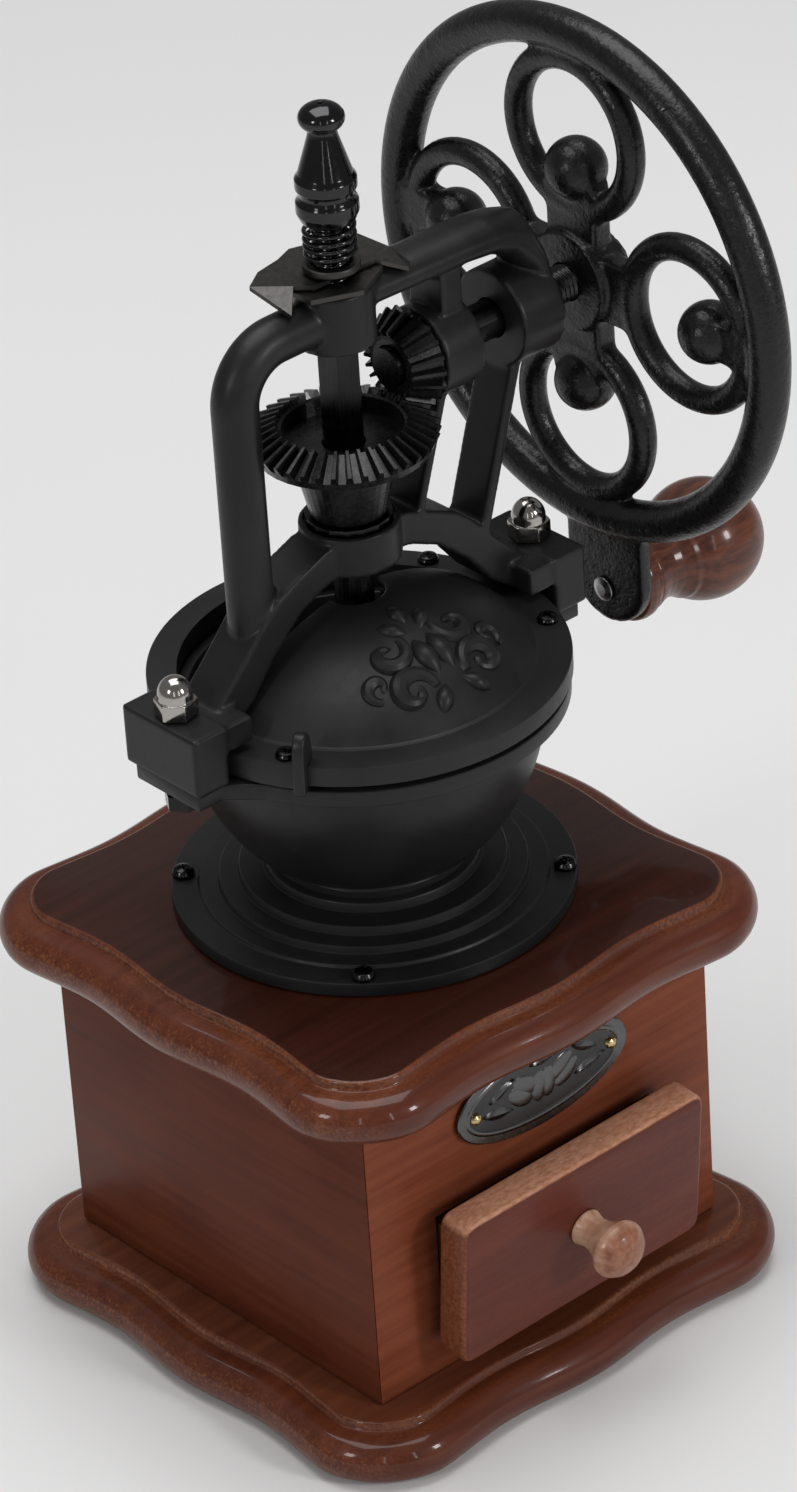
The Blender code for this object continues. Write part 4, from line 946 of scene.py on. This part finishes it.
def ornament():
    """Generic mirrored scrollwork around a coffee bean."""
    pieces = []
    centre = 21.5
    for side in (-1, 1):
        pieces.append(scroll(side * 8.0, centre + 5.0, 4.4, 90.0 + side * 80.0, 1.05, side, 1.9))
        pieces.append(scroll(side * 7.6, centre - 4.0, 4.0, -90.0 - side * 70.0, 0.95, -side, 1.75))
        pieces.append(scroll(side * 13.0, centre + 0.8, 2.8, 90.0 - side * 20.0, 0.9, -side, 1.4))
        pieces.append(dome_leaf(side * 3.9, centre + 8.6, 7.0, 1.75, 90.0 - side * 38.0))
        pieces.append(dome_leaf(side * 3.4, centre - 7.6, 6.6, 1.6, 90.0 + side * 42.0))
        pieces.append(dome_leaf(side * 1.7, centre, 9.6, 2.2, 90.0))
    pieces.append(dome_leaf(0.0, centre - 10.2, 5.6, 1.6, 90.0))
    return pieces


def dome_arc(sphere, start, end, steps):
    """Points on a sphere about the dome's centre, from one distance off the axis to another."""
    points = []
    for i in range(steps + 1):
        r = start + (end - start) * i / steps
        points.append((r, DOME_CENTRE + math.sqrt(sphere ** 2 - r * r)))
    return points


def dome_radius(sphere, z):
    """Distance off the axis at which a sphere about the dome's centre reaches a height."""
    return math.sqrt(sphere ** 2 - (z - DOME_CENTRE) ** 2)


def lid():
    """Ring and fixed half dome, slotted under the ring for the door's tab."""
    inner = DOME_SPHERE - 2.0
    groove = 131.0
    hole = 5.6
    profile = [(33.5, 129.6), (RING_RADIUS, 129.6), (RING_RADIUS, RING_TOP), (DOME_BASE + 0.6, RING_TOP)]
    profile += dome_arc(DOME_SPHERE, DOME_BASE - 0.2, hole, 26)
    profile += dome_arc(inner, hole, dome_radius(inner, groove), 22)
    profile += [(33.5, groove)]
    thing = turned("lid_casting", profile, LID_BLACK, 112, hollow=True, round_by=0.45, angle=30.0)
    opening = DOME_BASE + 0.9
    steps = 75
    half = [(opening * math.cos(math.pi * k / steps), 0.05 + opening * math.sin(math.pi * k / steps))
            for k in range(steps + 1)]
    slot_in = [(32.8 * math.cos(math.radians(210.5 + 119.0 * k / 30)),
                32.8 * math.sin(math.radians(210.5 + 119.0 * k / 30))) for k in range(31)]
    slot_out = [(x * 41.0 / 32.8, y * 41.0 / 32.8) for x, y in reversed(slot_in)]
    cut(thing, prism("back", half, 125.0, 160.0), prism("slot", slot_in + slot_out, 128.0, 130.75))
    join(thing, *ornament())
    resmooth(thing, 32.0)
    finish(thing, LID_BLACK)
    stands_for(thing, "frame", "black_casting", "lid")


def lid_door():
    """Half-dome shell under the fixed one, with the finger tab that comes out under the ring."""
    outer = DOME_SPHERE - 2.45
    inner = outer - 1.5
    hole = 5.8
    low = 129.65
    high = 130.6
    profile = dome_arc(inner, hole, dome_radius(inner, high) - 0.6, 16)
    profile += [(profile[-1][0], low), (33.1, low), (33.1, high)]
    profile += dome_arc(outer, dome_radius(outer, high), hole, 16)
    rings = []
    for i in range(61):
        a = math.radians(182.0 + 176.0 * i / 60)
        rings.append([(r * math.cos(a), r * math.sin(a), z) for r, z in profile])
    door = object_from("lid_door_shell", loft(rings, False), LID_BLACK, 35.0)
    tab = [(32.0, low + 0.1), (40.95, low + 0.1), (40.95, 135.6)]
    tab += arc(38.05, 137.2, 2.7, 4.0, 0.0, 150.0, 12)
    tab += [(34.9, 136.2), (34.9, RING_TOP + 0.3), (RING_RADIUS + 0.3, RING_TOP + 0.3),
            (RING_RADIUS + 0.3, high - 0.1), (32.0, high - 0.1)]
    fin = bevel(plate_xz("fin", tab, -1.1, 1.1), 0.45, 3, 25.0)
    move(fin, rotation=Matrix.Rotation(math.radians(213.0), 3, "Z"))
    union(door, fin)
    resmooth(door, 40.0)
    finish(door, BOWL_BLACK)
    stands_for(door, "door", "black_casting", "lid_door")


# ---------------------------------------------------------------- yoke

def yoke():
    """Casting melted together from its arch, ears, column, beam, bosses and ribs."""
    arch = [(0.0, 161.9), (9.6, 161.9), (15.8, 159.5), (21.4, 156.8), (25.0, 153.8), (28.3, 150.2),
            (33.5, 144.8), (38.0, 140.4), (44.0, 140.4), (44.0, 136.2), (33.4, 136.2), (28.3, 139.9),
            (23.4, 146.0), (16.5, 152.1), (10.3, 154.9), (0.0, 156.6)]
    pieces = [rod("yoke_core", 9.2, 155.6, 163.5, 64)]
    for side in (-1, 1):
        pieces.append(plate_xz("arch", [(side * x, z) for x, z in arch], -4.75, 4.75))
        outer = sorted((side * 39.5, side * 47.0))
        inner = sorted((side * 33.4, side * 41.0))
        pieces.append(block("ear", (outer[0], -10.0, 129.6), (outer[1], 10.0, 141.3)))
        pieces.append(block("ear_step", (inner[0], -9.7, 136.0), (inner[1], 9.7, 141.1)))
    column = [(-COLUMN_X, 0.0, 147.0), (-COLUMN_X, 0.0, 194.5)]
    column += [(x, 0.0, z) for x, z in arc(10.0 - COLUMN_X, 194.5, 10.0, 10.0, 178.0, 90.0, 14)]
    column.append((-2.0, 0.0, 204.5))
    pieces.append(tube("column", column, 4.3, 28))
    pieces.append(rod("top_hub", 7.2, 199.0, 210.2, 64))
    sections = [(2.0, 207.0, 5.0, 3.2), (17.0, 207.0, 5.6, 3.3), (28.0, 206.9, 5.8, 3.35),
                (34.0, 206.5, 5.9, 3.6), (38.5, 205.2, 6.0, 4.3), (42.5, 202.0, 6.2, 6.4),
                (45.7, 196.0, 6.2, 6.4)]
    rings = []
    for x, z, half_y, half_z in sections:
        rings.append([(x, half_y * math.cos(TURN * k / 28), z + half_z * math.sin(TURN * k / 28))
                      for k in range(28)])
    pieces.append(object_from("beam", loft(rings, False)))
    for low, high, radius in ((18.0, 27.0, 8.7), (36.0, 46.0, 9.3)):
        pieces.append(move(rod("boss", radius, low, high, 64), z=AXIS_Z, rotation=ALONG_X))
    pieces.append(block("neck", (21.0, -4.5, 195.0), (26.0, 4.5, 206.0)))
    for foot, head, thick in (((12.4, 158.0), (20.4, 182.5), 1.9), ((27.8, 149.0), (38.3, 182.5), 2.5)):
        outline = [(foot[0] - thick / 2, foot[1]), (foot[0] + thick / 2, foot[1]),
                   (head[0] + thick / 2, head[1]), (head[0] - thick / 2, head[1])]
        pieces.append(plate_xz("rib", outline, -4.6, 4.6))
    body = cast("yoke_casting", pieces, 0.42, 5, CASTING)
    bolt_holes = [move(rod("bolt_hole", 2.3, 125.0, 150.0, 24), x=x) for x in (-EAR_BOLT_X, EAR_BOLT_X)]
    shaft_bore = move(rod("shaft_bore", 3.9, 10.0, 50.0, 40), z=AXIS_Z, rotation=ALONG_X)
    cut(body, rod("spindle_bore", 3.95, 150.0, 170.0, 40), rod("washer_recess", 8.4, 162.7, 170.0, 64),
        rod("rod_bore", 3.6, 190.0, 215.0, 40), shaft_bore, *bolt_holes)
    resmooth(body, 50.0)
    finish(body, CASTING)
    stands_for(body, "frame", "black_casting", "yoke")


def ear_fasteners():
    """Bright acorn nuts on top of the ears and black bolt heads below."""
    for side, name in ((-1, "left"), (1, "right")):
        hexagon = [(4.0 * math.cos(TURN * k / 6), 4.0 * math.sin(TURN * k / 6)) for k in range(6)]
        nut = prism("hex", hexagon, 0.0, 3.1)
        chamfer = turned("chamfer", [(0.05, -0.1), (3.75, -0.1), (4.1, 0.3), (4.1, 2.8), (3.6, 3.3),
                                     (0.05, 3.3)], steps=48, round_by=0.0)
        boolean(nut, [chamfer], "INTERSECT")
        crown = [(0.05, 1.0), (3.2, 1.0), (3.2, 3.9)] + arc(0.0, 3.9, 3.2, 3.55, 6.0, 88.0, 12)
        dome = turned("dome", crown, steps=48, round_by=0.3)
        union(nut, dome)
        nut.name = f"cap_nut_{name}_acorn"
        finish(nut, NICKEL)
        bevel(nut, 0.12, 2, 30.0)
        move(nut, side * EAR_BOLT_X, 0.0, NUT_LOW[2], Matrix.Rotation(math.radians(14.0), 3, "Z"))
        stands_for(nut, "frame", "nickel", f"cap_nut_{name}")
        bolt = paint_node(f"ear_bolt_{name}", SCREW_BLACK)


# ---------------------------------------------------------------- drive

def worn_and_highlit_copy(node, body, slot, material, width):
    """Copy of a CAD node with its sharp edges broken and coloured bright steel: partly wear, partly a
    painted highlight along the edges.
    """
    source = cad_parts[node]
    thing = bpy.data.objects.new(node + "_worn_and_highlit", source.data.copy())
    bpy.context.scene.collection.objects.link(thing)
    thing.data.transform(source.matrix_world)
    finish(thing, material)
    thing.data.materials.append(WORN_AND_HIGHLIT)
    edge = thing.modifiers.new("edge", "BEVEL")
    edge.width = width * MM
    edge.segments = 1
    edge.limit_method = "ANGLE"
    edge.angle_limit = math.radians(40.0)
    edge.material = 1
    settle(thing)
    resmooth(thing, 25.0)
    stands_for(thing, body, slot, node)


def gears():
    """Bevel gears, spindle and burrs, which keep their CAD shapes."""
    worn_and_highlit_copy("crown_gear", "spindle", "gear_steel", GEAR, 0.11)
    worn_and_highlit_copy("pinion", "wheel", "gear_steel", GEAR, 0.11)
    paint_node("spindle", SPINDLE_BLACK)
    paint_node("gear_washer", WASHER_BLACK)
    paint_node("inner_burr", GEAR)
    paint_node("outer_burr", GEAR)
    paint_node("burr_screw", STEEL)
    paint_node("wheel_nut", ENAMEL)


def threaded_rod(name, radius, depth, pitch, low, high, material):
    """Rod with a helical thread, along Z."""
    rings = []
    steps = 32
    per_turn = 6
    count = int((high - low) / pitch * per_turn)
    for i in range(count + 1):
        z = low + (high - low) * i / count
        ring = []
        for k in range(steps):
            a = TURN * k / steps
            phase = (i / per_turn - k / steps) % 1.0
            r = radius - depth * abs(2.0 * phase - 1.0)
            ring.append((r * math.cos(a), r * math.sin(a), z))
        rings.append(ring)
    return object_from(name, loft(rings, False), material, 60.0)


def wheel_shaft():
    """Plain shaft in the bosses with a threaded outer end."""
    plain = rod("wheel_shaft_threaded", 3.6, SHAFT_LOW[0], 46.0, 48)
    thread = threaded_rod("thread", 3.6, 0.5, 1.0, 45.9, SHAFT_HIGH[0], None)
    join(plain, thread)
    finish(plain, SHAFT_STEEL)
    resmooth(plain, 60.0)
    move(plain, z=AXIS_Z, rotation=ALONG_X)
    stands_for(plain, "wheel", "steel", "wheel_shaft")


def flywheel():
    """Rough casting melted from the rim, loops, balls, arms, hub and handle lug."""
    rim_radius = 48.1
    loop_centre = 28.5
    pieces = [torus("flywheel_core", rim_radius, 3.9, 128, 24)]
    for i in range(4):
        a = i * TURN / 4.0
        c = math.cos(a)
        s = math.sin(a)
        upright = i % 2 == 0
        turn = Matrix.Rotation(a, 3, "Z")
        reach = 21.5 if upright else 33.2
        pieces.append(move(torus("loop", 14.6, 2.65, 72, 16), loop_centre * c, loop_centre * s))
        pieces.append(ball("ball", BALL_RADIUS, reach * c, reach * s))
        arm_end = 20.0 if upright else 14.5
        pieces.append(move(block("arm", (1.0, -6.2, -2.4), (arm_end, 6.2, 2.4)), rotation=turn))
        if not upright:
            pieces.append(move(block("stem", (33.5, -3.8, -2.6), (45.0, 3.8, 2.6)), rotation=turn))
    pieces.append(rod("hub", 9.6, -4.0, 4.0, 48))
    lug_x = HANDLE_Z - AXIS_Z
    lug_y = -HANDLE_Y
    lug = [(-45.0, lug_y + LUG_HALF), (-45.0, lug_y - LUG_HALF)]
    lug += [(lug_x + 3.2 + LUG_HALF * math.cos(t), lug_y + LUG_HALF * math.sin(t))
            for t in [math.radians(-90.0 - 7.5 * k) for k in range(25)]]
    pieces.append(prism("lug", lug, -1.45, 1.45))
    body = cast("flywheel_casting", pieces, 0.5, 7, ENAMEL)
    cut(body, rod("bore", 3.8, -10.0, 10.0, 40))
    finish(body, ENAMEL)
    resmooth(body, 60.0)
    stand_up = Matrix(((0.0, 0.0, 1.0), (0.0, -1.0, 0.0), (1.0, 0.0, 0.0)))
    move(body, WHEEL_X, 0.0, AXIS_Z, stand_up)
    stands_for(body, "wheel", "wheel_paint", "flywheel")


def handle():
    """Turned grip: a collar, a waist and a round bulb, on a long rivet."""
    start = GRIP_LOW[0]
    shape = [(1.9, 0.0), (7.0, 0.0), (8.2, 0.7), (8.5, 2.0), (8.4, 3.3), (7.9, 4.1), (7.75, 4.5),
             (7.85, 4.9), (7.5, 6.0), (7.0, 7.6), (6.95, 9.2), (7.3, 10.8), (8.3, 12.6), (8.55, 12.9)]
    shape += arc(0.0, 21.8, 11.65, 11.95, -41.0, 74.0, 26)
    shape += [(2.4, 33.5), (2.4, 31.6), (1.9, 31.6)]
    profile = [(radius, start + along) for radius, along in shape]
    grip = turned("handle_grip_turned", profile, WOOD_GRIP, 72, hollow=True, round_by=0.8, angle=55.0)
    move(grip, y=HANDLE_Y, z=HANDLE_Z, rotation=ALONG_X)
    stands_for(grip, "handle", "grip_wood", "handle_grip")
    low, high = node_box("handle_pin")
    pin = [(0.05, low[0] + 0.1), (1.2, low[0] + 0.1), (2.4, low[0] + 0.55), (2.4, low[0] + 1.0),
           (1.6, low[0] + 1.0), (1.6, high[0] - 1.4), (2.1, high[0] - 1.4), (2.1, high[0] - 0.4),
           (0.05, high[0] - 0.1)]
    rivet = turned("handle_pin_rivet", pin, STEEL, 36, round_by=0.25, angle=50.0)
    move(rivet, y=HANDLE_Y, z=HANDLE_Z, rotation=ALONG_X)
    stands_for(rivet, "wheel", "steel", "handle_pin")


# ---------------------------------------------------------------- adjuster

def adjuster():
    """Turned knob, threaded rod, coil spring, cup washer and the two stamped plates."""
    low = KNOB_LOW[2]
    shape = [(3.6, 0.0), (4.7, 0.0), (5.1, 0.8), (5.58, 1.9), (5.58, 3.9), (5.2, 4.5), (4.95, 5.2),
             (5.15, 5.9), (5.5, 6.5), (5.5, 8.3), (4.9, 9.2), (2.75, 16.2), (2.6, 17.0)]
    profile = [(radius, low + up) for radius, up in shape]
    profile += arc(0.0, 242.0, 4.15, 2.78, -52.0, 84.0, 20)
    profile += [(0.3, low + 10.6), (3.6, low + 9.0)]
    knob = turned("adjusting_knob_turned", profile, BLACK_NICKEL, 72, hollow=True, round_by=0.5,
                  angle=50.0)
    stands_for(knob, "adjuster", "black_nickel", "adjusting_knob")
    rod = threaded_rod("adjusting_rod_threaded", 3.28, 0.4, 1.0, 203.4, 230.9, BLACK_NICKEL)
    stands_for(rod, "adjuster", "steel", "adjusting_rod")
    path = []
    per_turn = 28
    turns = 4.0
    wire = 0.45
    height = SPRING_HIGH[2] - SPRING_LOW[2] - 2.0 * wire
    for i in range(int(turns * per_turn) + 1):
        share = i / (turns * per_turn)
        a = TURN * i / per_turn
        z = SPRING_LOW[2] + wire + height * (share + 0.03 * math.sin(TURN * share))
        path.append((4.43 * math.cos(a), 4.43 * math.sin(a), z))
    spring = tube("adjusting_spring_coil", path, wire * 0.97, 10, material=BLACK_NICKEL)
    stands_for(spring, "lock", "steel", "adjusting_spring")
    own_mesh(spring)
    cup = [(3.7, 212.9), (4.8, 212.9), (5.18, 213.3), (5.18, 214.5), (3.7, 214.55)]
    ring = turned("spring_cup_turned", cup, PLATE_STEEL, 48, hollow=True, round_by=0.3)
    stands_for(ring, "lock", "steel", "spring_cup")
    worn_and_highlit_copy("locking_plate", "lock", "plate_steel", PLATE_STEEL, 0.12)
    worn_and_highlit_copy("stop_plate", "frame", "plate_steel", PLATE_STEEL, 0.12)


# ---------------------------------------------------------------- studio

def area_light(name, place, target, size, power):
    """Rectangular lamp in metres and watts, turned to face its target."""
    data = bpy.data.lights.new(name, "AREA")
    data.shape = "RECTANGLE"
    data.size = size[0]
    data.size_y = size[1]
    data.energy = power
    lamp = bpy.data.objects.new(name, data)
    lamp.location = place
    lamp.rotation_euler = (Vector(target) - Vector(place)).to_track_quat("-Z", "Y").to_euler()
    bpy.context.scene.collection.objects.link(lamp)


def studio():
    """Pale floor, soft white surroundings and the lamps."""
    reach = 3000.0
    floor = block("floor", (-reach, -reach, -60.0), (reach, reach, -0.05))
    paint = Paint("floor_white", roughness=0.8, specular=0.1)
    shade = paint.noise(3.0, 2.0)
    paint.colour(paint.ramp(shade, [(0.3, (0.80, 0.80, 0.80)), (0.7, (0.83, 0.83, 0.83))]))
    floor.data.materials.append(paint.material)
    world = bpy.data.worlds.new("studio")
    world.use_nodes = True
    background = world.node_tree.nodes["Background"]
    background.inputs["Color"].default_value = (1.0, 1.0, 1.0, 1.0)
    background.inputs["Strength"].default_value = 0.22
    bpy.context.scene.world = world
    bpy.context.scene.view_settings.view_transform = "Standard"
    aim = (0.0, 0.0, 0.12)
    lamps = (("key_left", (-1.25, -0.15, 0.75), (0.22, 0.32), 2.9),
             ("key_right", (0.35, -1.25, 0.65), (0.22, 0.32), 5.8),
             ("strip_left", (-0.95, -0.95, 0.55), (0.05, 0.7), 0.5),
             ("strip_right", (-0.30, -1.30, 0.60), (0.04, 0.7), 0.7),
             ("top_soft", (0.1, 0.2, 1.5), (1.2, 1.2), 16.0))
    for name, place, size, power in lamps:
        area_light(name, place, aim, size, power)


def camera():
    """Long-lens view from above and left of the drawer, rolled a little."""
    right = Vector((0.7400, -0.6700, -0.0570)).normalized()
    up = Vector((0.3880, 0.3570, 0.8500))
    up = (up - right * up.dot(right)).normalized()
    back = right.cross(up)
    data = bpy.data.cameras.new("camera")
    data.sensor_width = 36.0
    data.lens = 154.96
    data.clip_end = 20.0
    thing = bpy.data.objects.new("camera", data)
    matrix = Matrix((right, up, back)).transposed().to_4x4()
    matrix.translation = Vector((-0.6354, -0.7627, 0.7257))
    thing.matrix_world = matrix
    bpy.context.scene.collection.objects.link(thing)
    bpy.context.scene.camera = thing


wooden_base()
drawer()
name_plate()
hopper()
screw_heads()
lid()
lid_door()
yoke()
ear_fasteners()
gears()
wheel_shaft()
flywheel()
handle()
adjuster()
studio()
camera()
